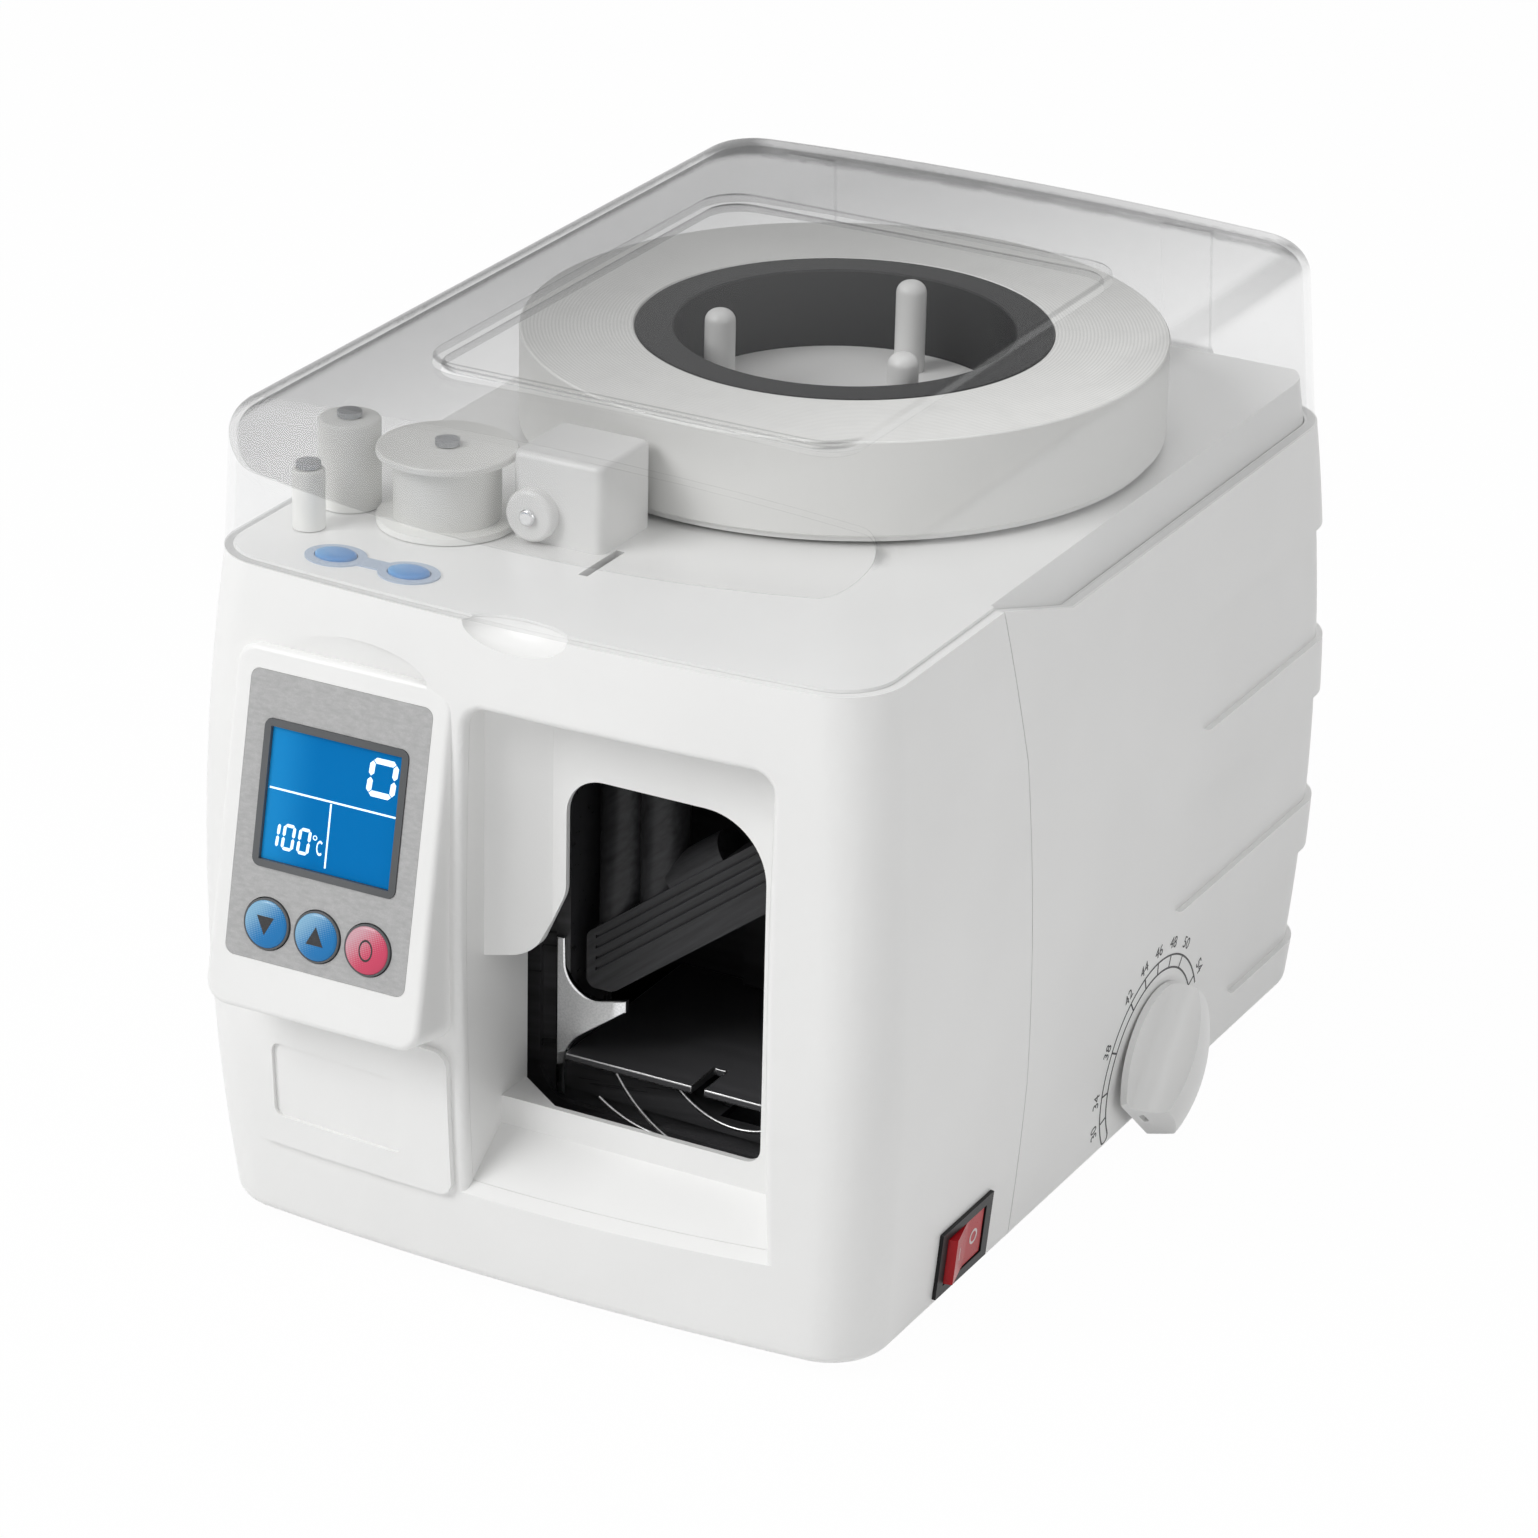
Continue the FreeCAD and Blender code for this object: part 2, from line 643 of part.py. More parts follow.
def front_housing():
    """Front shell with console pod, note recess, lower panel and finger scoop."""
    raised = prism(rectangle(*LOWER_PANEL_X, *LOWER_PANEL_Z, PANEL_CORNER), "y",
                   -BODY_FRONT - 20, -BODY_FRONT + 8)
    raised = raised.common(body_solid(-LOWER_PANEL_RISE))
    sunk = prism(rectangle(*LOWER_RECESS_X, *LOWER_RECESS_Z, 3.0), "y",
                 -BODY_FRONT - 20, -BODY_FRONT + 8)
    sunk = sunk.cut(body_solid(LOWER_RECESS_DEPTH - LOWER_PANEL_RISE))
    brow = dish(Vector(BROW_X, -front_at(BROW_Z) + BROW_X ** 2 / 2 / FRONT_PLAN_RADIUS, BROW_Z),
                BROW_HALF_WIDTH, BROW_DEPTH, BROW_HALF_HEIGHT)
    shell = body_outer().cut(brow).fuse([console_pod(0), raised])
    shell = shell.cut([body_cavity(), console_pod(POD_WALL), sunk])
    shell = shell.common(front_region(0))
    mouth = prism(recess_corners(), "y", -BODY_FRONT - 20, -BODY_FRONT + 12)
    shell = shell.cut(mouth.cut(ledge_ramp()))
    shell = shell.makeFillet(RECESS_EDGE, recess_rim(shell))

    wall = -front_at(PARTING_FRONT)
    scoop = dish(Vector(SCOOP_X, wall, PARTING_FRONT), SCOOP_HALF_WIDTH, SCOOP_DEPTH, SCOOP_DROP)
    reach = SCOOP_HALF_WIDTH + SCOOP_WALL
    pocket = block((SCOOP_X - reach, SCOOP_X + reach),
                   (wall + BODY_WALL - 1, wall + SCOOP_DEPTH + SCOOP_WALL),
                   (PARTING_FRONT - SCOOP_DROP - SCOOP_WALL, PARTING_FRONT))
    shell = shell.fuse(pocket).cut(scoop)

    holes = console_cuts()
    holes.append(switch_place(block((-20, 20), (-SWITCH_HALF_LENGTH, SWITCH_HALF_LENGTH),
                                    (-SWITCH_HALF_HEIGHT, SWITCH_HALF_HEIGHT))))
    keep("front_housing", shell.cut(holes))


def console_cuts():
    """Pocket for the film, hole for the display and holes for the buttons."""
    pocket = prism(rectangle(-OVERLAY_HALF_WIDTH - FILM_GAP, OVERLAY_HALF_WIDTH + FILM_GAP,
                             -OVERLAY_HALF_HEIGHT - FILM_GAP, OVERLAY_HALF_HEIGHT + FILM_GAP,
                             OVERLAY_CORNER + FILM_GAP), "z", -OVERLAY_THICKNESS, 10)
    display = display_block(FILM_GAP, -10, 10)
    buttons = [rod(BUTTON_RADIUS + KEY_GAP, "z", (u, BUTTON_V), -10, 10)
               for u in button_places()]
    return [slope_place(cut) for cut in [pocket, display] + buttons]


def display_block(grow, low, high):
    """Round-cornered block of the display's outline, grown by a gap."""
    return prism(rectangle(-LCD_HALF_WIDTH - grow, LCD_HALF_WIDTH + grow, LCD_BOTTOM - grow,
                           LCD_TOP + grow, LCD_CORNER + grow), "z", low, high)


def button_places():
    """Places of the three console buttons across the panel."""
    return (-BUTTON_PITCH, 0.0, BUTTON_PITCH)


def hinge_ears():
    """Two ears beside each knuckle, standing on the rear wall's rim."""
    ears = []
    foot = PARTING_REAR - 14
    wall = rear_at(PARTING_REAR)
    tip = HINGE_Y + HINGE_KNUCKLE_RADIUS
    for centre in HINGE_CENTRES:
        near = HINGE_LEAF_WIDTH / 2 + HINGE_EAR_GAP
        for start in (centre - near - HINGE_EAR_WIDTH, centre + near):
            corners = [(wall - 3, foot, 0), (rear_at(foot) + 0.5, foot, 0),
                       (tip, HINGE_Z - 3, 0), (tip, HINGE_Z, 0),
                       (HINGE_Y - HINGE_KNUCKLE_RADIUS, HINGE_Z, 0),
                       (HINGE_Y - HINGE_KNUCKLE_RADIUS, PARTING_REAR - 0.5, 0),
                       (wall - 3, PARTING_REAR - 0.5, 0)]
            leg = prism(corners, "x", start, start + HINGE_EAR_WIDTH)
            eye = rod(HINGE_KNUCKLE_RADIUS, "x", (HINGE_Y, HINGE_Z), start,
                      start + HINGE_EAR_WIDTH)
            ears.append(leg.fuse(eye))
    return ears


def rear_housing():
    """Rear shell with side recesses, vents, inlet opening and hinge ears."""
    shell = body_outer().cut(body_cavity()).cut(front_region(SEAM_GAP))
    shell = shell.cut(parting_region(0))
    inner = body_solid(SIDE_RECESS_DEPTH, BODY_FOOT - 1, PARTING_FRONT + 1)
    reach = BODY_HALF_WIDTH + 30
    for start, low, high in SIDE_RECESSES:
        corners = [(start, low, SIDE_RECESS_ROUND), (BODY_REAR + 30, low, 0),
                   (BODY_REAR + 30, high, 0), (start + 3, high, SIDE_RECESS_ROUND)]
        tool = prism(corners, "x", -reach, reach).cut(inner)
        tool = tool.cut(block((-SIDE_RECESS_REAR_HALF, SIDE_RECESS_REAR_HALF),
                              (-300, 300), (0, 300)))
        shell = shell.cut(tool)
    holes = [block((INLET_X - INLET_HALF_WIDTH, INLET_X + INLET_HALF_WIDTH),
                   (BODY_REAR - 20, BODY_REAR + 20),
                   (INLET_Z - INLET_HALF_HEIGHT, INLET_Z + INLET_HALF_HEIGHT))]
    for index in range(VENT_COUNT):
        middle = VENT_X + (index - (VENT_COUNT - 1) / 2) * VENT_PITCH
        slot = rectangle(middle - VENT_WIDTH / 2, middle + VENT_WIDTH / 2, *VENT_Z,
                         VENT_WIDTH * 0.49)
        holes.append(prism(slot, "y", BODY_REAR - 20, BODY_REAR + 20))
    holes.append(rod(DIAL_SHAFT_RADIUS + RUNNING_FIT, "x", (DIAL_Y, DIAL_Z),
                     side_at(DIAL_Z) - 2 * BODY_WALL, side_at(DIAL_Z) + BODY_WALL))
    shell = shell.cut(holes).fuse(hinge_ears())
    pin_hole = rod(HINGE_PIN_RADIUS, "x", (HINGE_Y, HINGE_Z), -150, 150)
    keep("rear_housing", shell.cut(pin_hole))


# --- base plate and feet ------------------------------------------------------
def foot_places():
    """Centres of the four feet."""
    return [(x, y) for x in (-FOOT_SPACING_X / 2, FOOT_SPACING_X / 2)
            for y in (FOOT_FRONT, FOOT_REAR)]


def base_and_feet():
    """Steel base plate, four rubber feet and their screws."""
    top = BODY_FOOT + BASE_THICKNESS
    plate = body_solid(BODY_WALL + BASE_GAP, BODY_FOOT, top)
    vents = []
    for index in range(VENT_COUNT):
        y = 20 + index * VENT_PITCH
        vents.append(prism(rectangle(20, 70, y, y + VENT_WIDTH, VENT_WIDTH * 0.49),
                           "z", 0, top + 1))
    feet, screws, holes = [], [], []
    for centre in foot_places():
        foot = rod(FOOT_RADIUS, "z", centre, 0, BODY_FOOT)
        foot = round_ends(foot, "z", 0, 1.0)
        foot = foot.cut([rod(FOOT_BORE, "z", centre, -1, FOOT_SCREW_HEAD),
                         rod(FOOT_SCREW_RADIUS + SCREW_CLEARANCE, "z", centre, 0, BODY_FOOT + 1)])
        feet.append(foot)
        shank = rod(FOOT_SCREW_RADIUS, "z", centre, FOOT_SCREW_HEAD, top + 4)
        head = rod(FOOT_SCREW_HEAD_RADIUS, "z", centre, FOOT_SCREW_HEAD - 1.4, FOOT_SCREW_HEAD)
        screws.append(shank.fuse(head))
        holes.append(rod(FOOT_SCREW_RADIUS + SCREW_CLEARANCE, "z", centre, 0, top + 5))
    keep("base_plate", plate.cut(vents + holes))
    keep("rubber_feet", Part.Compound(feet))
    keep("foot_screws", Part.Compound(screws))


# --- tape deck ----------------------------------------------------------------
def deck_outline(inset, low, high):
    """Deck form: follows the body inside the cover, set back at the rear."""
    solid = body_solid(inset, low, high)
    behind = block((-200, 200), (COVER_REAR_LOW - DECK_REAR_INSET, 300), (0, 400))
    return solid.cut(behind)


def tray_deck():
    """Deck plate with skirt, rim, slot and holes for spindles and keys."""
    foot = PARTING_REAR - DECK_SKIRT_DROP
    plate = deck_outline(DECK_INSET, foot, DECK_TOP)
    hollow = deck_outline(DECK_INSET + DECK_SKIRT_WALL, foot - 1, DECK_TOP - DECK_THICKNESS)
    hollow = hollow.cut(block((-200, 200), (COVER_REAR_LOW - DECK_REAR_INSET - DECK_SKIRT_WALL,
                                            300), (0, 400)))
    rim = body_solid(DECK_RIM_INSET, PARTING_FRONT + DECK_RIM_GAP, DECK_TOP)
    rim = rim.common(block((-200, 200), (-300, PARTING_STEP_START), (0, 400)))
    gutter = body_solid(DECK_INSET, foot, foot + DECK_SKIRT_WALL)
    gutter = gutter.common(block((-200, 200), (COVER_REAR_LOW - DECK_REAR_INSET - DECK_SKIRT_WALL,
                                               300), (0, 400)))
    deck = plate.cut(hollow).fuse([rim, gutter])
    pocket = block((SCOOP_X - SCOOP_HALF_WIDTH - SCOOP_WALL - LINER_GAP,
                    SCOOP_X + SCOOP_HALF_WIDTH + SCOOP_WALL + LINER_GAP),
                   (-300, -front_at(PARTING_FRONT) + SCOOP_DEPTH + SCOOP_WALL + LINER_GAP),
                   (0, PARTING_FRONT + DECK_RIM_GAP))
    scoop = rod(SCOOP_HALF_WIDTH, "z", (SCOOP_X, 0), 0, 300)
    stretch = FreeCAD.Matrix()
    stretch.scale(1, SCOOP_DEPTH / SCOOP_HALF_WIDTH, 1)
    scoop = scoop.transformGeometry(stretch)
    scoop.translate(Vector(0, -front_at(PARTING_FRONT), 0))
    holes = [pocket, scoop]
    holes.append(block((TAPE_SLOT_X - TAPE_SLOT_WIDTH / 2, TAPE_SLOT_X + TAPE_SLOT_WIDTH / 2),
                       (TAPE_PLANE_Y - TAPE_WIDTH / 2 - 1, TAPE_PLANE_Y + TAPE_WIDTH / 2 + 1),
                       (0, 300)))
    for x, y in roller_centres():
        holes.append(rod(ROLLER_PIN_RADIUS, "z", (x, y), 0, 300))
    holes.append(rod(SPINDLE_RADIUS, "z", (REEL_X, REEL_Y), 0, 300))
    for _name, x, y in FEED_KEY_PLACES:
        holes.append(key_oval(x, y, FEED_SURROUND_MARGIN - 1.2, 0, 300))
    keep("tray_deck", deck.cut(holes))


def roller_centres():
    """Places of the post roller, the small roller and the guide pulley."""
    return ((POST_ROLLER_X, POST_ROLLER_Y), (POST_ROLLER_X, SMALL_ROLLER_Y),
            (PULLEY_X, PULLEY_Y))


# --- reel ---------------------------------------------------------------------
def reel():
    """Spindle, turntable with pegs, core ring and roll of tape."""
    centre = (REEL_X, REEL_Y)
    spindle = rod(SPINDLE_RADIUS, "z", centre, DECK_TOP - DECK_THICKNESS - 3, SPINDLE_TOP)
    spindle = spindle.fuse([
        rod(SPINDLE_COLLAR_RADIUS, "z", centre, DECK_TOP, DECK_TOP + TURNTABLE_LIFT - AXIAL_GAP),
        rod(SPINDLE_COLLAR_RADIUS, "z", centre, DECK_TOP - DECK_THICKNESS - 3,
            DECK_TOP - DECK_THICKNESS)])
    keep("reel_spindle", spindle)

    plate_foot = DECK_TOP + TURNTABLE_LIFT
    plate = rod(TURNTABLE_RADIUS, "z", centre, plate_foot, plate_foot + TURNTABLE_THICKNESS)
    hub = rod(HUB_RADIUS, "z", centre, plate_foot, HUB_FLOOR)
    pegs = []
    for index in range(PEG_COUNT):
        angle = math.radians(PEG_START + index * 360 / PEG_COUNT)
        place = (REEL_X + PEG_CIRCLE * math.cos(angle), REEL_Y + PEG_CIRCLE * math.sin(angle))
        peg = rod(PEG_RADIUS, "z", place, HUB_FLOOR - 1, PEG_TOP)
        pegs.append(round_ends(peg, "z", PEG_TOP, PEG_RADIUS * 0.8))
    bore = rod(SPINDLE_RADIUS + RUNNING_FIT, "z", centre, 0, SPINDLE_TOP + AXIAL_GAP)
    keep("reel_turntable", plate.fuse([hub] + pegs).cut(bore))

    core = rod(CORE_OUTER_RADIUS, "z", centre, TAPE_STACK_BOTTOM, TAPE_STACK_TOP)
    core = core.cut(rod(CORE_INNER_RADIUS, "z", centre, 0, 300))
    keep("core_ring", core)
    roll = rod(ROLL_RADIUS, "z", centre, TAPE_STACK_BOTTOM, TAPE_STACK_TOP)
    keep("tape_roll", roll.cut(rod(CORE_OUTER_RADIUS + FILM_GAP, "z", centre, 0, 300)))


# --- rollers on the deck ------------------------------------------------------
def deck_rollers():
    """Post roller, small roller and guide pulley on fixed spindles."""
    foot = DECK_TOP + AXIAL_GAP
    tops = [DECK_TOP + height
            for height in (POST_ROLLER_HEIGHT, SMALL_ROLLER_HEIGHT, PULLEY_HEIGHT)]
    spindles = []
    for (x, y), top in zip(roller_centres(), tops):
        pin = rod(ROLLER_PIN_RADIUS, "z", (x, y), DECK_TOP - DECK_THICKNESS, top)
        cap = rod(ROLLER_PIN_RADIUS + 1.2, "z", (x, y), top, top + ROLLER_CAP)
        spindles.append(pin.fuse(cap))
    keep("roller_spindles", Part.Compound(spindles))

    post, small, pulley = roller_centres()
    for name, centre, radius, top in (("post_roller", post, POST_ROLLER_RADIUS, tops[0]),
                                      ("small_roller", small, SMALL_ROLLER_RADIUS, tops[1])):
        body = rod(radius, "z", centre, foot, top - AXIAL_GAP)
        body = round_ends(body, "z", top - AXIAL_GAP, 1.0)
        keep(name, body.cut(rod(ROLLER_PIN_RADIUS + RUNNING_FIT, "z", centre, 0, 300)))

    rim = tops[2] - AXIAL_GAP
    core = rod(PULLEY_RADIUS, "z", pulley, foot, rim)
    lower = rod(PULLEY_FLANGE_RADIUS, "z", pulley, foot, foot + PULLEY_FLANGE)
    upper = rod(PULLEY_FLANGE_RADIUS, "z", pulley, rim - PULLEY_FLANGE, rim)
    wheel = round_ends(core.fuse([lower, upper]), "z", rim, PULLEY_EDGE)
    keep("guide_pulley", wheel.cut(rod(ROLLER_PIN_RADIUS + RUNNING_FIT, "z", pulley, 0, 300)))


def guide_block():
    """Block that turns the tape down into the slot, with its front screw."""
    top = DECK_TOP + GUIDE_HEIGHT
    body = prism(rectangle(*GUIDE_X, *GUIDE_Y, GUIDE_EDGE), "z", DECK_TOP, top)
    body = round_ends(body, "z", top, GUIDE_EDGE - 1)
    boss = rod(GUIDE_BOSS_RADIUS, "y", (GUIDE_BOSS_X, GUIDE_BOSS_Z),
               GUIDE_Y[0] - GUIDE_BOSS_PROUD, GUIDE_Y[0] + 2)
    boss = round_ends(boss, "y", GUIDE_Y[0] - GUIDE_BOSS_PROUD, 1.5)
    hole = rod(GUIDE_SCREW_RADIUS - 1, "y", (GUIDE_BOSS_X, GUIDE_BOSS_Z), -300, GUIDE_Y[0] + 6)
    keep("guide_block", body.fuse(boss).cut(hole))
    head = rod(GUIDE_SCREW_RADIUS, "y", (GUIDE_BOSS_X, GUIDE_BOSS_Z),
               GUIDE_Y[0] - GUIDE_BOSS_PROUD - 1.6, GUIDE_Y[0] - GUIDE_BOSS_PROUD)
    head = round_ends(head, "y", GUIDE_Y[0] - GUIDE_BOSS_PROUD - 1.6, 0.9)
    shank = rod(GUIDE_SCREW_RADIUS - 1, "y", (GUIDE_BOSS_X, GUIDE_BOSS_Z),
                GUIDE_Y[0] - GUIDE_BOSS_PROUD, GUIDE_Y[0] + 5)
    keep("guide_screw", head.fuse(shank))


# --- feed keys ----------------------------------------------------------------
def key_oval(x, y, margin, low, high):
    """Oval column of a feed key, grown by the margin."""
    column = rod(FEED_KEY_HALF_X + margin, "z", (0, 0), low, high)
    squash = FreeCAD.Matrix()
    squash.scale(1, (FEED_KEY_HALF_Y + margin) / (FEED_KEY_HALF_X + margin), 1)
    column = column.transformGeometry(squash)
    column.translate(Vector(x, y, 0))
    return column


def feed_keys():
    """Dumbbell surround and the feed and retract keys in it."""
    low = DECK_TOP - DECK_THICKNESS - 2
    top = DECK_TOP + FEED_SURROUND_PROUD
    rings, holes, bosses = [], [], []
    for _name, x, y in FEED_KEY_PLACES:
        rings.append(key_oval(x, y, FEED_SURROUND_MARGIN, DECK_TOP, top))
        bosses.append(key_oval(x, y, FEED_SURROUND_MARGIN - 1.2 - FILM_GAP, low, DECK_TOP))
        holes.append(key_oval(x, y, KEY_GAP, 0, 300))
    first, last = FEED_KEY_PLACES[0], FEED_KEY_PLACES[-1]
    waist = block((first[1], last[1]), (first[2] - 3, first[2] + 3), (DECK_TOP, top))
    keep("key_surround", rings[0].fuse(rings[1:] + [waist] + bosses).cut(holes))
    for name, x, y in FEED_KEY_PLACES:
        cap = key_oval(x, y, 0, low - 2, DECK_TOP + FEED_KEY_PROUD)
        cap = round_ends(cap, "z", DECK_TOP + FEED_KEY_PROUD, 0.8)
        flange = key_oval(x, y, 1.0, low - 2, low - KEY_GAP)
        keep(name, cap.fuse(flange))


# --- console ------------------------------------------------------------------
def console():
    """Printed film, display bezel and module, buttons and their board."""
    film = prism(rectangle(-OVERLAY_HALF_WIDTH, OVERLAY_HALF_WIDTH, -OVERLAY_HALF_HEIGHT,
                           OVERLAY_HALF_HEIGHT, OVERLAY_CORNER), "z", -OVERLAY_THICKNESS, 0)
    holes = [display_block(FILM_GAP, -9, 9)]
    holes += [rod(BUTTON_RADIUS + KEY_GAP, "z", (u, BUTTON_V), -9, 9) for u in button_places()]
    keep("console_overlay", slope_place(film.cut(holes)))

    glass = (-LCD_HALF_WIDTH + LCD_GLASS_MARGIN, LCD_HALF_WIDTH - LCD_GLASS_MARGIN)
    glass_v = (LCD_BOTTOM + LCD_GLASS_MARGIN, LCD_TOP - LCD_GLASS_MARGIN)
    bezel = display_block(0, -LCD_BEZEL_DEPTH, LCD_BEZEL_PROUD)
    bezel = bezel.cut(block(glass, glass_v, (-9, 9)))
    keep("lcd_bezel", slope_place(bezel))
    module = block((glass[0] + FILM_GAP, glass[1] - FILM_GAP),
                   (glass_v[0] + FILM_GAP, glass_v[1] - FILM_GAP),
                   (-LCD_MODULE_DEPTH, -LCD_GLASS_RECESS))
    back = display_block(0, -LCD_MODULE_DEPTH, -LCD_BEZEL_DEPTH)
    keep("lcd_module", slope_place(module.fuse(back)))

    for name, u in zip(BUTTON_NAMES, button_places()):
        cap = rod(BUTTON_RADIUS, "z", (u, BUTTON_V), -POD_WALL - KEY_GAP, BUTTON_PROUD)
        cap = round_ends(cap, "z", BUTTON_PROUD, 1.0)
        flange = rod(BUTTON_RADIUS + BUTTON_FLANGE_REACH, "z", (u, BUTTON_V),
                     -POD_WALL - KEY_GAP - BUTTON_FLANGE, -POD_WALL - KEY_GAP)
        stem = rod(2.0, "z", (u, BUTTON_V), -BOARD_DEPTH + KEY_TRAVEL + KEY_GAP,
                   -POD_WALL - KEY_GAP - BUTTON_FLANGE)
        keep(name, slope_place(cap.fuse([flange, stem])))
    half = POD_HALF_WIDTH - POD_WALL - 1
    board = block((-half, half), (BUTTON_V - 12, LCD_TOP + 6),
                  (-BOARD_DEPTH - BOARD_THICKNESS, -BOARD_DEPTH))
    posts = [rod(2.5, "z", (u, v), -BOARD_DEPTH, -POD_WALL)
             for u in (-half + 5, half - 5) for v in (BUTTON_V + 12, LCD_TOP + 4)]
    rests = [rod(2.5, "z", (u, LCD_TOP - 22), -BOARD_DEPTH, -LCD_MODULE_DEPTH)
             for u in (-18, 18)]
    keep("console_board", slope_place(board.fuse(posts + rests)))


# --- note slot and chamber ----------------------------------------------------
def window_corners():
    """Outline of the opening in the inner fascia, with the curve over the pocket."""
    return [(RECESS_LEFT, WINDOW_FOOT, 0), (WINDOW_RIGHT, WINDOW_FOOT, 5.0),
            (WINDOW_RIGHT, WINDOW_TOP, 20.0), (WINDOW_LEFT, WINDOW_TOP, 12.0),
            (WINDOW_LEFT, WINDOW_POCKET_TOP + WINDOW_CURVE_HEIGHT, 12.0),
            (WINDOW_LEFT - WINDOW_CURVE_WIDTH, WINDOW_POCKET_TOP, 8.0),
            (RECESS_LEFT, WINDOW_POCKET_TOP, 0)]


def slot_liner():
    """White tub behind the front wall: sloping ledge, flared fascia and pocket wall."""
    back = FASCIA_Y + LINER_WALL
    tub = prism(recess_corners(LINER_WALL), "y", -BODY_FRONT - BODY_WALL, back)
    tub = tub.common(body_solid(BODY_WALL + LINER_GAP))
    hollow = prism(recess_corners(), "y", -BODY_FRONT - 20, FASCIA_Y)
    flare = prism([(RECESS_LEFT - 1, FASCIA_Y - FLARE_RUN, 0),
                   (RECESS_LEFT, FASCIA_Y - FLARE_RUN, 0),
                   (RECESS_LEFT + FLARE_WIDTH, FASCIA_Y, 0), (RECESS_LEFT - 1, FASCIA_Y, 0)],
                  "z", WINDOW_POCKET_TOP - 1, RECESS_TOP + 1)
    liner = tub.cut(hollow).fuse([ledge_ramp().common(tub), flare.common(tub)])
    liner = liner.cut(prism(window_corners(), "y", -200, back + 1))
    wall = block((RECESS_LEFT - LINER_WALL, RECESS_LEFT), (FASCIA_Y, FASCIA_Y + POCKET_DEPTH),
                 (WINDOW_FOOT - 2 * LINER_WALL, WINDOW_POCKET_TOP + LINER_WALL))
    shelf = prism([(RECESS_LEFT - 1, FASCIA_Y, 0), (RECESS_LEFT + POCKET_SHELF_WIDTH, FASCIA_Y, 0),
                   (RECESS_LEFT - 1, FASCIA_Y + POCKET_DEPTH, 0)], "z",
                  WINDOW_FOOT - 2 * LINER_WALL, WINDOW_FOOT)
    keep("slot_liner", liner.fuse([wall, shelf]))


def note_table():
    """Dark table that carries the notes, slotted at its front edge."""
    foot = TABLE_TOP - TABLE_THICKNESS
    table = block((TRACK_COLUMN + KEY_GAP, CHAMBER_RIGHT - CHAMBER_WALL - KEY_GAP),
                  (TABLE_FRONT, CHAMBER_REAR - CHAMBER_WALL - KEY_GAP), (foot, TABLE_TOP))
    slot = block(TABLE_SLOT, (TABLE_FRONT - 1, TABLE_FRONT + TABLE_SLOT_LENGTH),
                 (0, TABLE_TOP + 1))
    keep("note_table", table.cut(slot))


def tape_track():
    """Track that leads the tape round below the table, with its left column."""
    right = CHAMBER_RIGHT - CHAMBER_WALL - KEY_GAP
    left = CHAMBER_LEFT + CHAMBER_WALL + KEY_GAP
    top = CHAMBER_TOP - CHAMBER_WALL - KEY_GAP
    under_table = TABLE_TOP - TABLE_THICKNESS - FILM_GAP
    corners = [(left, TRACK_FOOT, 6.0), (right, TRACK_FOOT, 0), (right, TRACK_FLOOR, 0),
               (TRACK_CURVE_X - 8, TRACK_FLOOR, 12.0), (25.0, under_table, 0),
               (TRACK_COLUMN, under_table, 0), (TRACK_COLUMN, top, 0), (left, top, 0)]
    track = prism(corners, "y", TRACK_FRONT, TRACK_REAR)
    outer = TRACK_COLUMN - TRACK_GROOVE[0]
    inner = TRACK_COLUMN - TRACK_GROOVE[1]
    groove = prism([(outer, TRACK_FOOT + 6, 12.0), (right + 1, TRACK_FOOT + 4, 0),
                    (right + 1, TRACK_FOOT + 9, 0), (inner, TRACK_FOOT + 11, 7.0),
                    (inner, top + 1, 0), (outer, top + 1, 0)], "y",
                   TRACK_FRONT - 1, TRACK_FRONT + 2)
    shaft_hole = block((PRESS_X[0] - PRESS_GAP, PRESS_X[1] + PRESS_GAP),
                       (PRESS_Y[0] - PRESS_GAP, PRESS_Y[1] + PRESS_GAP), (0, 100))
    keep("tape_track", track.cut([groove, shaft_hole]))


def chrome_deflector():
    """Chromed Y-shaped tape deflector on the front of the track."""
    bar_x0, bar_x1 = DEFLECTOR_BAR
    tip_x, tip_z = DEFLECTOR_TIP
    low, high = DEFLECTOR_Z
    front = TRACK_FRONT - DEFLECTOR_THICKNESS
    corners = [(bar_x0, low, 0), (bar_x1, low, 0), (bar_x1 + 0.5, tip_z - 17.4, 13.0),
               (tip_x, tip_z - 2, 0), (tip_x, tip_z + 2, 0),
               (bar_x1 + 0.5, tip_z - 3, 10.0), (bar_x1, high, 0), (bar_x0, high, 0)]
    plate = prism(corners, "y", front, TRACK_FRONT)
    keep("chrome_deflector", round_ends(plate, "y", front, DEFLECTOR_EDGE))


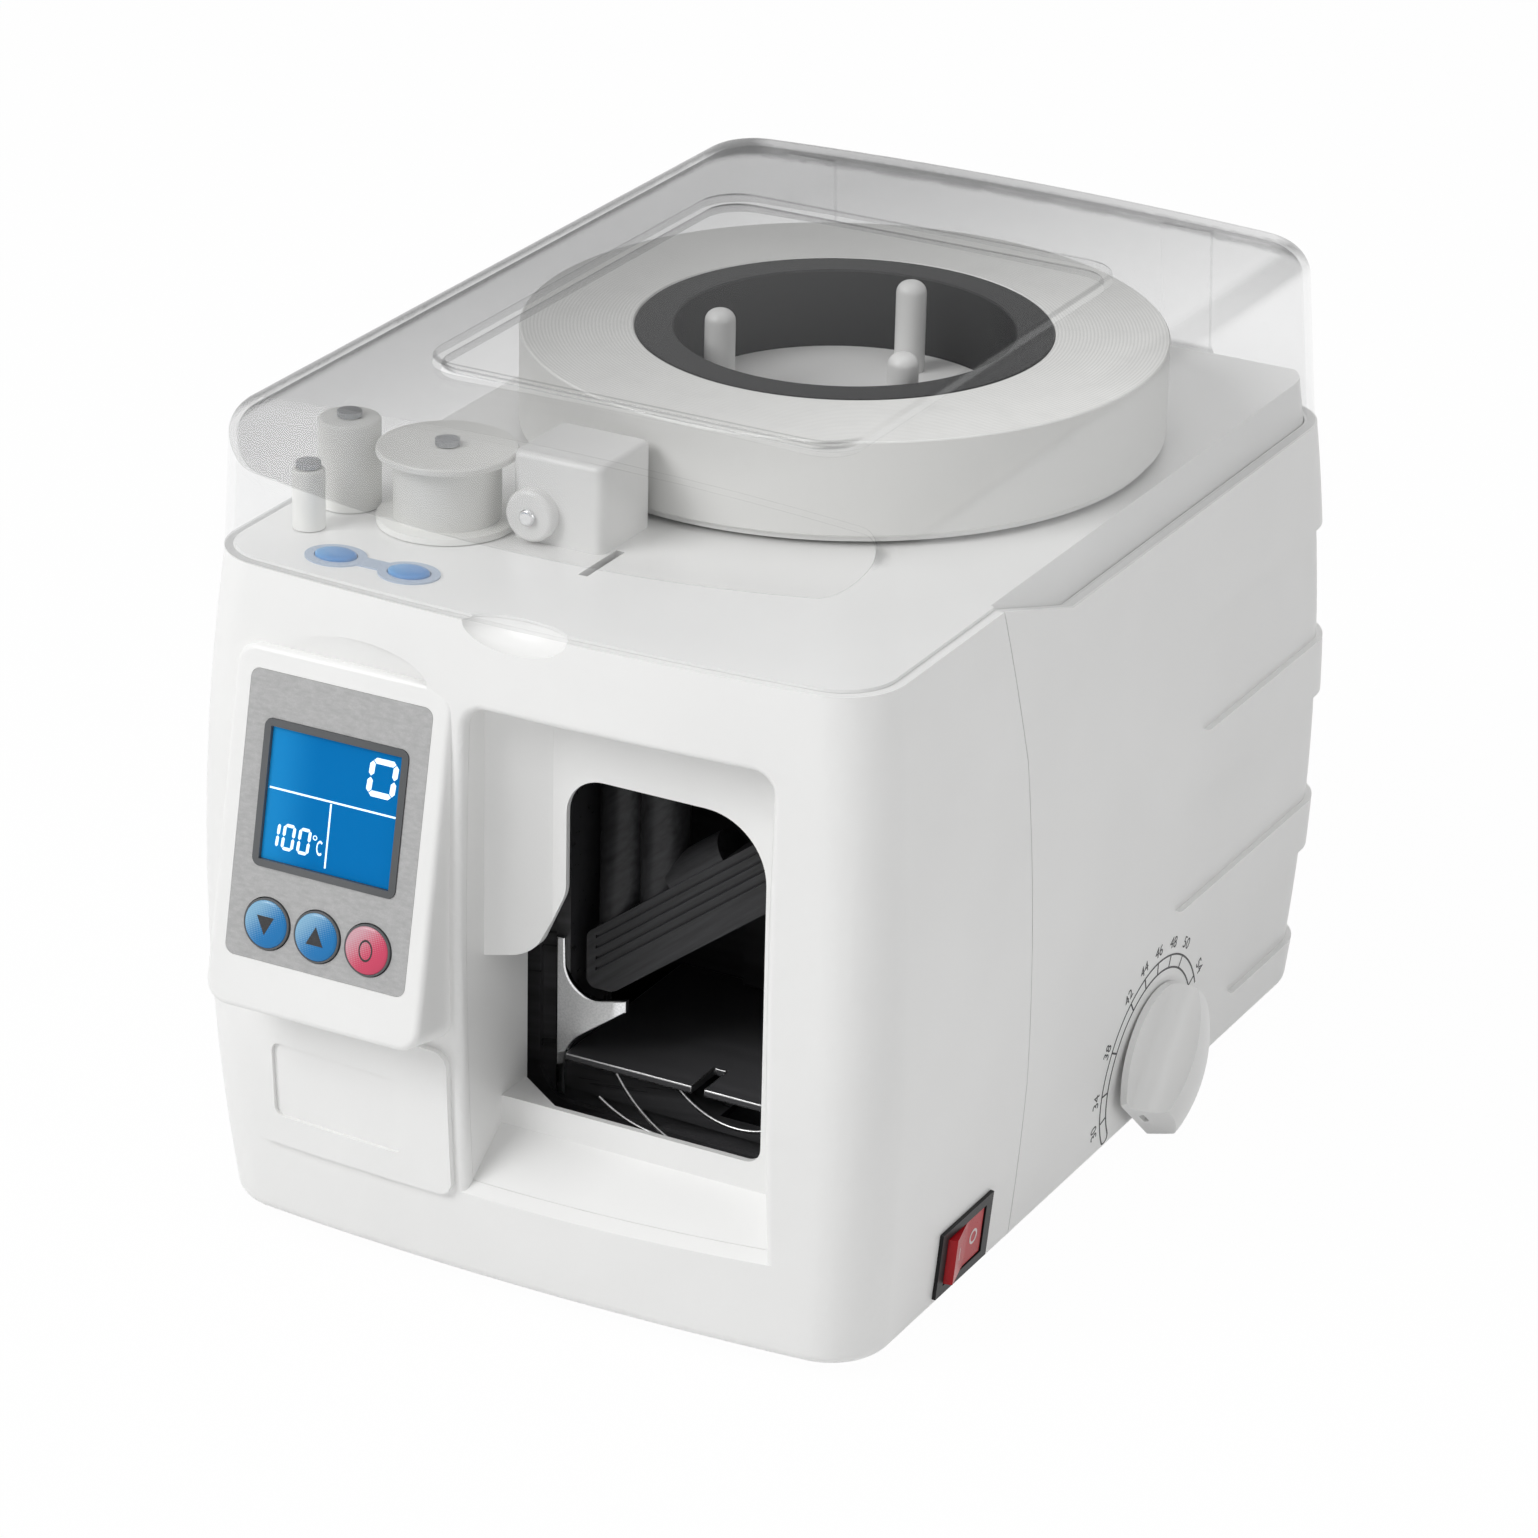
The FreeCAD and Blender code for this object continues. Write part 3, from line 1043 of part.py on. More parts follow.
def chamber_shells():
    """Black walls round the note chamber, before and behind the chassis plate."""
    wall = CHAMBER_WALL

    def hood(start, end):
        outer = block((CHAMBER_LEFT, CHAMBER_RIGHT), (start, end), (TRACK_FOOT, CHAMBER_TOP))
        inner = block((CHAMBER_LEFT + wall, CHAMBER_RIGHT - wall), (start - 1, end + 1),
                      (TRACK_FOOT - 1, CHAMBER_TOP - wall))
        return outer.cut(inner)

    slot = block((TAPE_SLOT_X - TAPE_SLOT_WIDTH / 2, TAPE_SLOT_X + TAPE_SLOT_WIDTH / 2),
                 (TRACK_FRONT, TRACK_REAR), (CHAMBER_TOP - wall - 1, CHAMBER_TOP + 1))
    keep("chamber_front", hood(FASCIA_Y + LINER_WALL + FILM_GAP, PLATE_Y - FILM_GAP).cut(slot))
    rear = hood(PLATE_Y + PLATE_THICKNESS + FILM_GAP, CHAMBER_REAR)
    back = block((CHAMBER_LEFT, CHAMBER_RIGHT), (CHAMBER_REAR - wall, CHAMBER_REAR),
                 (TRACK_FOOT, CHAMBER_TOP))
    bore = rod(STOP_ROD_RADIUS + RUNNING_FIT, "y", (STOP_ROD_X, STOP_ROD_Z), -60, 0)
    boss = rod(STOP_ROD_RADIUS + 3, "y", (STOP_ROD_X, STOP_ROD_Z), CHAMBER_REAR, CHAMBER_REAR + 8)
    keep("chamber_rear", rear.fuse([back, boss]).cut(bore))


def upper_guide():
    """Tilted plate above the notes, grooved along its tilt, with rounded heads on top."""
    left = TAPE_SLOT_X + TAPE_SLOT_WIDTH / 2 + KEY_GAP
    right = CHAMBER_RIGHT - CHAMBER_WALL - KEY_GAP
    front = TRACK_FRONT + KEY_GAP
    tilt = math.radians(UPPER_GUIDE_TILT)
    climb = math.tan(tilt)
    high = UPPER_GUIDE_FOOT + UPPER_GUIDE_HEIGHT
    nose = left + UPPER_GUIDE_NOSE
    corners = [(left, UPPER_GUIDE_FOOT, 3.0), (nose, UPPER_GUIDE_FOOT, 6.0),
               (right, UPPER_GUIDE_FOOT + (right - nose) * climb, 0),
               (right, high + (right - left) * climb, 0), (left, high, 3.0)]
    plate = prism(corners, "y", front, TRACK_REAR)
    ribs = []
    for index in range(1, GUIDE_RIB_COUNT + 1):
        foot = UPPER_GUIDE_FOOT + index * UPPER_GUIDE_HEIGHT / (GUIDE_RIB_COUNT + 1)
        ribs.append(prism([(left + 3, foot + 3 * climb, 0),
                           (right - 2, foot + (right - 2 - left) * climb, 0),
                           (right - 2, foot + (right - 2 - left) * climb + GUIDE_RIB_WIDTH, 0),
                           (left + 3, foot + 3 * climb + GUIDE_RIB_WIDTH, 0)], "y",
                          front - 1, front + GUIDE_RIB_DEPTH))
    heads = []
    depth = front + GUIDE_HEAD_RADIUS + GUIDE_HEAD_SETBACK
    for index in range(2):
        x = left + GUIDE_HEAD_RADIUS + GUIDE_HEAD_SETBACK + index * GUIDE_HEAD_PITCH
        foot = high + (x - left) * climb - GUIDE_HEAD_RADIUS
        heads.append(rod(GUIDE_HEAD_RADIUS, "z", (x, depth), foot, GUIDE_HEAD_TOP))
    start = left + 2 * GUIDE_HEAD_PITCH
    spine = Vector(start, depth, high + (start - left) * climb)
    heads.append(Part.makeCylinder(GUIDE_HEAD_RADIUS, GUIDE_SPINE_LENGTH, spine,
                                   Vector(math.cos(tilt), 0, math.sin(tilt))))
    keep("upper_guide", plate.cut(ribs).fuse(heads))


def chassis_plate():
    """Upright steel plate that carries the motors and the track."""
    floor = BODY_FOOT + BASE_THICKNESS
    width = (CHAMBER_LEFT - PLATE_MARGIN, CHAMBER_RIGHT + PLATE_MARGIN)
    plate = block(width, (PLATE_Y, PLATE_Y + PLATE_THICKNESS), (floor, PLATE_TOP))
    flange = block(width, (PLATE_Y, PLATE_Y + PLATE_FLANGE),
                   (floor, floor + PLATE_FLANGE_THICKNESS))
    through = (PLATE_Y - 1, PLATE_Y + PLATE_THICKNESS + 1)
    window = block((TRACK_COLUMN, CHAMBER_RIGHT - CHAMBER_WALL), through,
                   (TABLE_TOP - TABLE_THICKNESS - KEY_GAP,
                    CHAMBER_TOP - CHAMBER_WALL - PLATE_BRIDGE))
    left, right = feed_centres()
    holes = [window, rod(MOTOR_SHAFT_RADIUS + SHAFT_CLEARANCE, "y", left, *through),
             rod(MOTOR_SHAFT_RADIUS, "y", right, *through),
             rod(MOTOR_SHAFT_RADIUS + SHAFT_CLEARANCE, "y", (CAM_X, CAM_Z), *through)]
    keep("chassis_plate", plate.fuse(flange).cut(holes))


# --- feed and press mechanism -------------------------------------------------
def feed_centres():
    """Axes of the driven and the pinch roller, either side of the tape."""
    reach = FEED_ROLLER_RADIUS + FEED_NIP / 2
    return ((TAPE_SLOT_X - reach, FEED_Z), (TAPE_SLOT_X + reach, FEED_Z))


def motor(name, centre):
    """Gear motor behind the chassis plate, bored for its shaft."""
    start = PLATE_Y + PLATE_THICKNESS
    case = rod(MOTOR_RADIUS, "y", centre, start, start + MOTOR_LENGTH)
    case = round_ends(case, "y", start + MOTOR_LENGTH, 2.0)
    bore = rod(MOTOR_SHAFT_RADIUS + RUNNING_FIT, "y", centre, -100, start + MOTOR_BORE_DEPTH)
    keep(name, case.cut(bore))


def feed_mechanism():
    """Driven and pinch roller that push the tape down into the track."""
    left, right = feed_centres()
    start, end = TAPE_PLANE_Y - TAPE_WIDTH / 2, TAPE_PLANE_Y + TAPE_WIDTH / 2
    motor("feed_motor", left)
    shaft_end = PLATE_Y + PLATE_THICKNESS + MOTOR_BORE_DEPTH - AXIAL_GAP
    roller = rod(FEED_ROLLER_RADIUS, "y", left, start, end)
    grooves = []
    for index in range(1, 4):
        y = start + index * TAPE_WIDTH / 4
        ring = rod(FEED_ROLLER_RADIUS + 1, "y", left, y - 0.6, y + 0.6)
        grooves.append(ring.cut(rod(FEED_ROLLER_RADIUS - 0.7, "y", left, y - 1, y + 1)))
    shaft = rod(MOTOR_SHAFT_RADIUS, "y", left, end - 1, shaft_end)
    keep("feed_roller", roller.cut(grooves).fuse(shaft))
    axle = rod(MOTOR_SHAFT_RADIUS, "y", right, start - 2, PLATE_Y + PLATE_THICKNESS)
    head = rod(MOTOR_SHAFT_RADIUS + 1.5, "y", right, start - 3, start - AXIAL_GAP)
    keep("pinch_axle", axle.fuse(head))
    pinch = rod(FEED_ROLLER_RADIUS, "y", right, start, end)
    bore = rod(MOTOR_SHAFT_RADIUS + RUNNING_FIT, "y", right, start - 1, end + 1)
    keep("pinch_roller", pinch.cut(bore))


def cam_wire(y):
    """Cam outline: radius grows evenly over half a turn, then falls back."""
    points = []
    for index in range(CAM_POINTS):
        angle = math.pi * index / (CAM_POINTS - 1)
        radius = CAM_LOW + CAM_LIFT * index / (CAM_POINTS - 1)
        points.append(Vector(CAM_X + radius * math.sin(angle), y,
                             CAM_Z + radius * math.cos(angle)))
    rise_curve = Part.BSplineCurve()
    rise_curve.interpolate(points)
    fall = Part.Arc(points[-1], Vector(CAM_X - CAM_LOW - CAM_LIFT * 0.35, y, CAM_Z - 1),
                    points[0])
    return Part.Wire([rise_curve.toShape(), fall.toShape()])


def press_mechanism():
    """Cam motor, camshaft and the heated press block that it lifts."""
    motor("cam_motor", (CAM_X, CAM_Z))
    start, end = PRESS_Y
    cam = Part.Face(cam_wire(start)).extrude(Vector(0, end - start, 0))
    shaft_end = PLATE_Y + PLATE_THICKNESS + MOTOR_BORE_DEPTH - AXIAL_GAP
    shaft = rod(MOTOR_SHAFT_RADIUS, "y", (CAM_X, CAM_Z), start, shaft_end)
    keep("camshaft", cam.fuse(shaft))
    tip = CAM_Z + CAM_LOW + CAM_GAP
    head = block(PRESS_X, PRESS_Y, (PRESS_FOOT, PRESS_TOP))
    stem = block((CAM_X - 1.5, CAM_X + 1.5), PRESS_Y, (tip + 1.5, PRESS_FOOT + 1))
    nose = rod(1.5, "y", (CAM_X, tip + 1.5), start, end)
    keep("press_block", head.fuse([stem, nose]))
    heater = block((PRESS_X[0] + 1, PRESS_X[1] - 1), (PRESS_Y[0] + 1, PRESS_Y[1] - 1),
                   (PRESS_TOP, PRESS_TOP + 1))
    keep("heater_plate", heater)


# --- strap position dial and note stop ----------------------------------------
def involute_point(base, radius, start):
    """Point on the involute of the base circle, at a radius, from an angle."""
    roll = math.sqrt(max((radius / base) ** 2 - 1, 0.0))
    angle = start + roll - math.atan(roll)
    return radius, angle


def pinion_wire(x):
    """Closed outline of the pinion, tooth by tooth, with a tooth space on top."""
    module = 2 * PINION_PITCH_RADIUS / PINION_TEETH
    base = PINION_PITCH_RADIUS * math.cos(math.radians(PRESSURE_ANGLE))
    root = PINION_PITCH_RADIUS - 1.25 * module
    tip = PINION_PITCH_RADIUS + module
    pitch_turn = involute_point(base, PINION_PITCH_RADIUS, 0)[1]
    half_tooth = (math.pi / 2 - TOOTH_BACKLASH / 2 / module) / PINION_TEETH
    points = []
    for tooth in range(PINION_TEETH):
        middle = math.pi / 2 + (tooth + 0.5) * 2 * math.pi / PINION_TEETH
        flank = [(root, -half_tooth - pitch_turn)]
        for share in (0.0, 0.35, 0.7, 1.0):
            radius = max(base, root) + (tip - max(base, root)) * share
            flank.append(involute_point(base, radius, -half_tooth - pitch_turn))
        for radius, angle in flank:
            points.append((radius, middle + angle))
        for radius, angle in reversed(flank):
            points.append((radius, middle - angle))
    corners = [Vector(x, DIAL_Y + r * math.cos(a), DIAL_Z + r * math.sin(a))
               for r, a in points]
    return Part.makePolygon(corners + [corners[0]])


def rack_bar():
    """Straight rack above the pinion, in mesh with it."""
    module = 2 * PINION_PITCH_RADIUS / PINION_TEETH
    pitch = math.pi * module
    line = DIAL_Z + PINION_PITCH_RADIUS
    lean = math.tan(math.radians(PRESSURE_ANGLE))
    half = (pitch / 2 - TOOTH_BACKLASH) / 2
    bottom = line - module
    root = line + 1.25 * module
    bar = block(pinion_span(), RACK_Y, (root, root + RACK_HEIGHT))
    teeth = []
    first = math.ceil((RACK_Y[0] + half * 2 - DIAL_Y) / pitch)
    last = math.floor((RACK_Y[1] - half * 2 - DIAL_Y) / pitch)
    for index in range(first, last + 1):
        y = DIAL_Y + index * pitch
        low = half - module * lean
        high = half + 1.25 * module * lean
        teeth.append(prism([(y - low, bottom, 0), (y + low, bottom, 0), (y + high, root, 0),
                            (y - high, root, 0)], "x", *pinion_span()))
    return bar.fuse(teeth), root + RACK_HEIGHT


def pinion_span():
    """Both ends of pinion and rack, from the inside of the side wall."""
    outer = side_at(DIAL_Z) - BODY_WALL - PINION_INSET
    return outer - PINION_WIDTH, outer


def bracket_span():
    """Both faces of the bracket, behind the pinion."""
    outer = pinion_span()[0] - BRACKET_SETBACK
    return outer - BRACKET_THICKNESS, outer


def knob_inner():
    """Inner face of the knob, where the side wall bulges most behind it."""
    return side_at(DIAL_Z + KNOB_RADIUS) + KNOB_GAP


def knob_blank():
    """Domed round of the knob on the X axis."""
    inner = knob_inner()
    rim, crown = inner + KNOB_RIM, inner + KNOB_HEIGHT
    dome = (KNOB_RADIUS ** 2 + (crown - rim) ** 2) / 2 / (crown - rim)
    halfway = crown - dome + math.sqrt(dome ** 2 - KNOB_RADIUS ** 2 / 4)
    corner, edge = Vector(inner, KNOB_RADIUS, 0), Vector(rim, KNOB_RADIUS, 0)
    foot, top = Vector(inner, 0, 0), Vector(crown, 0, 0)
    half = Part.Wire([Part.LineSegment(foot, corner).toShape(),
                      Part.LineSegment(corner, edge).toShape(),
                      Part.Arc(edge, Vector(halfway, KNOB_RADIUS / 2, 0), top).toShape(),
                      Part.LineSegment(top, foot).toShape()])
    blank = Part.Face(half).revolve(Vector(), Vector(1, 0, 0), 360)
    return round_ends(blank, "x", rim, KNOB_EDGE)


def dial():
    """Knob with its thumb scoop and end facet, its shaft, pinion and bracket."""
    inner = knob_inner()
    crown = inner + KNOB_HEIGHT
    reach = KNOB_RADIUS + 5
    scoop = prism([(inner + KNOB_SKIRT, KNOB_RIDGE, KNOB_SCOOP_RADIUS), (crown + 1, KNOB_RIDGE, 0),
                   (crown + 1, reach, 0), (inner + KNOB_SKIRT, reach, 0)], "y", -reach, reach)
    facet = prism([(inner - 1, -reach, 0), (inner - 1, -KNOB_FACET - KNOB_FACET_LEAN, 0),
                   (crown + 1, -KNOB_FACET + KNOB_FACET_LEAN * (KNOB_HEIGHT + 1), 0),
                   (crown + 1, -reach, 0)], "z", -reach, reach)
    length, width, depth = KNOB_SLOT
    slot = block((inner + KNOB_SKIRT, inner + KNOB_SKIRT + width), (-reach, depth - KNOB_FACET),
                 (-length / 2, length / 2))
    knob = knob_blank().cut([scoop, facet, slot])
    knob.rotate(Vector(), Vector(1, 0, 0), KNOB_POINTER)
    knob.translate(Vector(0, DIAL_Y, DIAL_Z))
    keep("dial_knob", knob)

    centre = (DIAL_Y, DIAL_Z)
    start, end = bracket_span()
    pinion = Part.Face(pinion_wire(pinion_span()[0])).extrude(Vector(PINION_WIDTH, 0, 0))
    shaft = rod(DIAL_SHAFT_RADIUS, "x", centre, start - 2, inner + 1)
    collar = rod(DIAL_SHAFT_RADIUS + 2, "x", centre, end + AXIAL_GAP, pinion_span()[0])
    keep("dial_shaft", shaft.cut(knob).fuse([pinion, collar]))
    y_span = (DIAL_Y - BRACKET_HALF_LENGTH, DIAL_Y + BRACKET_HALF_LENGTH)
    floor = BODY_FOOT + BASE_THICKNESS
    wall = block((start, end), y_span, (floor, DIAL_Z + BRACKET_HALF_LENGTH))
    foot = block((start - 12, end), y_span, (floor, floor + 2))
    bore = rod(DIAL_SHAFT_RADIUS + RUNNING_FIT, "x", centre, start - 1, end + 1)
    keep("dial_bracket", wall.fuse(foot).cut(bore))


def note_stop():
    """Stop plate in the chamber, its rod, and the rack that the dial drives."""
    face = -STOP_FACE
    plate = block(STOP_X, (face, face + STOP_THICKNESS), STOP_Z)
    rack, rack_top = rack_bar()
    arm_y = (RACK_Y[0], RACK_Y[0] + 5)
    rod_piece = rod(STOP_ROD_RADIUS, "y", (STOP_ROD_X, STOP_ROD_Z), face + 1, arm_y[1])
    arm = prism([(STOP_ROD_X - 5, STOP_ROD_Z + 5, 3.0), (STOP_ROD_X - 5, STOP_ROD_Z - 8, 3.0),
                 (pinion_span()[0], rack_top - 4, 0), (pinion_span()[1], rack_top - 4, 0),
                 (pinion_span()[1], rack_top + 8, 3.0)], "y", *arm_y)
    keep("note_stop", plate.fuse(rod_piece))
    keep("stop_rack", rack.fuse(arm).cut(rod_piece))


# --- power switch and inlet ---------------------------------------------------
def power_switch():
    """Bezel in the side wall and the rocker that tilts in it."""
    flange = block((0, 1.2), (-SWITCH_HALF_LENGTH - SWITCH_FLANGE, SWITCH_HALF_LENGTH + SWITCH_FLANGE),
                   (-SWITCH_HALF_HEIGHT - SWITCH_FLANGE / 2, SWITCH_HALF_HEIGHT + SWITCH_FLANGE / 2))
    gap = LINER_GAP
    case = block((-SWITCH_DEPTH, 0.5), (-SWITCH_HALF_LENGTH + gap, SWITCH_HALF_LENGTH - gap),
                 (-SWITCH_HALF_HEIGHT + gap, SWITCH_HALF_HEIGHT - gap))
    well = block((-8, 5), (-SWITCH_HALF_LENGTH + 2, SWITCH_HALF_LENGTH - 2),
                 (-SWITCH_HALF_HEIGHT + 2, SWITCH_HALF_HEIGHT - 2))
    keep("switch_bezel", switch_place(flange.fuse(case).cut(well)))
    half = SWITCH_HALF_LENGTH - 2 - ROCKER_GAP
    low, high = -SWITCH_HALF_HEIGHT + 2 + ROCKER_GAP, SWITCH_HALF_HEIGHT - 2 - ROCKER_GAP
    corners = [(-ROCKER_BODY_DEPTH, -half - 1, 0), (ROCKER_EDGE, -half - 1, 0),
               (ROCKER_HOLLOW, 0.0, 14.0), (ROCKER_EDGE, half + 1, 0),
               (-ROCKER_BODY_DEPTH, half + 1, 0)]
    body = prism(corners, "z", low, high)
    body = body.common(rod(half, "z", (-ROCKER_AXIS_DEPTH, 0), low, high))
    body.rotate(Vector(-ROCKER_AXIS_DEPTH, 0, 0), Vector(0, 0, 1), ROCKER_TILT)
    keep("power_rocker", switch_place(body))


def power_inlet():
    """Three-pin inlet with a screwed flange on the rear wall."""
    wall = rear_at(INLET_Z)
    flange = prism(rectangle(INLET_X - INLET_FLANGE_HALF, INLET_X + INLET_FLANGE_HALF,
                             INLET_Z - INLET_HALF_HEIGHT - 2, INLET_Z + INLET_HALF_HEIGHT + 2,
                             6.0), "y", wall - BODY_WALL - 3.4, wall - BODY_WALL - 0.9)
    case = block((INLET_X - INLET_HALF_WIDTH + 0.3, INLET_X + INLET_HALF_WIDTH - 0.3),
                 (wall - INLET_DEPTH, wall - 1),
                 (INLET_Z - INLET_HALF_HEIGHT + 0.3, INLET_Z + INLET_HALF_HEIGHT - 0.3))
    well = prism([(INLET_X - 12, INLET_Z - 8, 1.0), (INLET_X + 12, INLET_Z - 8, 1.0),
                  (INLET_X + 12, INLET_Z + 3, 1.0), (INLET_X + 7, INLET_Z + 8, 1.0),
                  (INLET_X - 7, INLET_Z + 8, 1.0), (INLET_X - 12, INLET_Z + 3, 1.0)], "y",
                 wall - INLET_DEPTH + 3, wall + 5)
    pins = [block((INLET_X + x - 1, INLET_X + x + 1), (wall - INLET_DEPTH + 2, wall - 4),
                  (INLET_Z + z - 2, INLET_Z + z + 2)) for x, z in ((-7, -2), (0, 2), (7, -2))]
    keep("power_inlet", flange.fuse(case).cut(well).fuse(pins))


# --- electrics on the base plate ----------------------------------------------
def electrics():
    """Transformer on its frame and the main circuit board on posts."""
    floor = BODY_FOOT + BASE_THICKNESS
    core = block((TRANSFORMER_X[0] + 8, TRANSFORMER_X[1] - 8), TRANSFORMER_Y,
                 (floor, floor + TRANSFORMER_HEIGHT - 6))
    winding = prism(rectangle(TRANSFORMER_X[0] + 16, TRANSFORMER_X[1] - 16,
                              TRANSFORMER_Y[0] - 9, TRANSFORMER_Y[1] + 9, 5.0), "z",
                    floor + 8, floor + TRANSFORMER_HEIGHT - 14)
    strap = block(TRANSFORMER_X, (TRANSFORMER_Y[0] + 14, TRANSFORMER_Y[1] - 14),
                  (floor, floor + 2))
    keep("transformer", core.fuse([winding, strap]))
    board = block(MAIN_BOARD_X, MAIN_BOARD_Y, (MAIN_BOARD_Z, MAIN_BOARD_Z + BOARD_THICKNESS))
    posts = [rod(3.0, "z", (x, y), floor, MAIN_BOARD_Z)
             for x in (MAIN_BOARD_X[0] + 5, MAIN_BOARD_X[1] - 5)
             for y in (MAIN_BOARD_Y[0] + 5, MAIN_BOARD_Y[1] - 5)]
    chips = [block((x, x + 14), (y, y + 9), (MAIN_BOARD_Z, MAIN_BOARD_Z + 5))
             for x in (-85, -60) for y in (-45, -15, 15)]
    keep("main_board", board.fuse(posts + chips))


# --- dust cover ---------------------------------------------------------------
def cover_share(z):
    """Height as a share of the way up the cover."""
    return (z - PARTING_REAR) / (COVER_EDGE_TOP - PARTING_REAR)


def cover_side(z):
    """Half width of the cover at a height."""
    return COVER_HALF_WIDTH_LOW + (COVER_HALF_WIDTH_TOP - COVER_HALF_WIDTH_LOW) * cover_share(z)


def cover_rear(z):
    """Rear face of the cover at a height."""
    return COVER_REAR_LOW + (COVER_REAR_TOP - COVER_REAR_LOW) * cover_share(z)


def cover_solid(inset):
    """Cover form without its plateau, offset inwards by the inset."""
    wires = []
    for z in (PARTING_REAR - 10, COVER_EDGE_TOP + 12):
        wires.append(plan_wire(z, cover_side(z) - inset, COVER_FRONT - inset,
                               cover_rear(z) - inset, CORNER_RADIUS - inset,
                               FRONT_PLAN_RADIUS - inset))
    form = Part.makeLoft(wires, True, True)
    length = math.hypot(COVER_SLOPE_RUN, COVER_SLOPE_RISE)
    y = -COVER_FRONT + inset * COVER_SLOPE_RISE / length
    z = COVER_CREASE - inset * COVER_SLOPE_RUN / length
    slope = COVER_SLOPE_RISE / COVER_SLOPE_RUN
    wedge = prism([(y - 20, z - 20 * slope, 0), (y + 40, z + 40 * slope, 0),
                   (y - 20, z + 40 * slope, 0)], "x", -200, 200)
    width = BODY_HALF_WIDTH + 30
    edge = COVER_EDGE_TOP - inset
    drop = COVER_CROWN * (width / COVER_HALF_WIDTH_TOP) ** 2
    crown_top = edge + COVER_CROWN
    arc = Part.Arc(Vector(-width, -300, crown_top - drop), Vector(0, -300, crown_top),
                   Vector(width, -300, crown_top - drop)).toShape()
    lid = Part.Wire([arc, Part.LineSegment(Vector(width, -300, crown_top - drop),
                                           Vector(width, -300, 330)).toShape(),
                     Part.LineSegment(Vector(width, -300, 330),
                                      Vector(-width, -300, 330)).toShape(),
                     Part.LineSegment(Vector(-width, -300, 330),
                                      Vector(-width, -300, crown_top - drop)).toShape()])
    form = form.cut([wedge, Part.Face(lid).extrude(Vector(0, 600, 0))])

    crown_radius = (width ** 2 + drop ** 2) / 2 / drop

    def top_edge(_edge, middle):
        crown = crown_top - crown_radius + math.sqrt(crown_radius ** 2 - middle.x ** 2)
        on_slope = abs((middle.z - z) - (middle.y - y) * slope) < 1e-3
        return abs(middle.z - crown) < 1e-2 and not on_slope
    return form.makeFillet(COVER_EDGE_RADIUS - inset, edges_where(form, top_edge))


def plateau(inset):
    """Raised field on the cover's top, offset inwards by the inset."""
    top = COVER_EDGE_TOP + COVER_CROWN + PLATEAU_RISE - inset
    corners = rectangle(-PLATEAU_HALF_WIDTH + inset, PLATEAU_HALF_WIDTH - inset,
                        PLATEAU_FRONT + inset, PLATEAU_REAR - inset, PLATEAU_CORNER - inset)
    pad = prism(corners, "z", COVER_EDGE_TOP - COVER_WALL - 4, top)
    return round_ends(pad, "z", top, PLATEAU_EDGE)


def hinge_leaves():
    """Leaves on the cover's rear wall with their knuckles."""
    leaves = []
    for centre in HINGE_CENTRES:
        start, end = centre - HINGE_LEAF_WIDTH / 2, centre + HINGE_LEAF_WIDTH / 2
        low = HINGE_Z
        corners = [(cover_rear(low) - 1, low, 0), (HINGE_Y, low - HINGE_KNUCKLE_RADIUS * 0.6, 0),
                   (HINGE_Y, low + HINGE_KNUCKLE_RADIUS, 0),
                   (cover_rear(low + 8) + HINGE_LEAF_PROUD, low + 8, 0),
                   (cover_rear(HINGE_LEAF_TOP) + HINGE_LEAF_PROUD, HINGE_LEAF_TOP, 0),
                   (cover_rear(HINGE_LEAF_TOP) - 1, HINGE_LEAF_TOP, 0)]
        leaf = prism(corners, "x", start, end)
        eye = rod(HINGE_KNUCKLE_RADIUS, "x", (HINGE_Y, HINGE_Z), start, end)
        leaves.append(leaf.fuse(eye))
    return leaves


def dust_cover():
    """Clear cover: one shell with plateau and hinge leaves."""
    outer = cover_solid(0).fuse([plateau(0)] + hinge_leaves())
    inner = cover_solid(COVER_WALL).fuse(plateau(COVER_WALL))
    reach = BODY_REAR + 40
    low = PARTING_REAR - 30
    below = prism([(-reach, low, 0), (reach, low, 0), (reach, PARTING_REAR + COVER_GAP, 0),
                   (PARTING_STEP_END, PARTING_REAR + COVER_GAP, 0),
                   (PARTING_STEP_START, PARTING_FRONT + COVER_GAP, 0),
                   (-reach, PARTING_FRONT + COVER_GAP, 0)], "x", -200, 200)
    bore = rod(HINGE_PIN_RADIUS + HINGE_FIT, "x", (HINGE_Y, HINGE_Z), -150, 150)
    keep("dust_cover", outer.cut([inner, below, bore]))
    pins = []
    for centre in HINGE_CENTRES:
        half = HINGE_LEAF_WIDTH / 2 + HINGE_EAR_GAP + HINGE_EAR_WIDTH
        pins.append(rod(HINGE_PIN_RADIUS, "x", (HINGE_Y, HINGE_Z), centre - half, centre + half))
    keep("hinge_pins", Part.Compound(pins))


# --- all pieces ---------------------------------------------------------------
def save_all():
    """Move the origin to the bottom centre of the whole and write each piece."""
    whole = Part.Compound(list(PIECES.values()))
    box = whole.optimalBoundingBox(False, False)
    shift = Vector(-(box.XMin + box.XMax) / 2, -(box.YMin + box.YMax) / 2, -box.ZMin)
    os.makedirs("parts", exist_ok=True)
    for name, shape in PIECES.items():
        shape.translate(shift)
        shape.exportStep("parts/" + name + ".step")
    print("origin shift", shift, "size", box.XLength, box.YLength, box.ZLength)


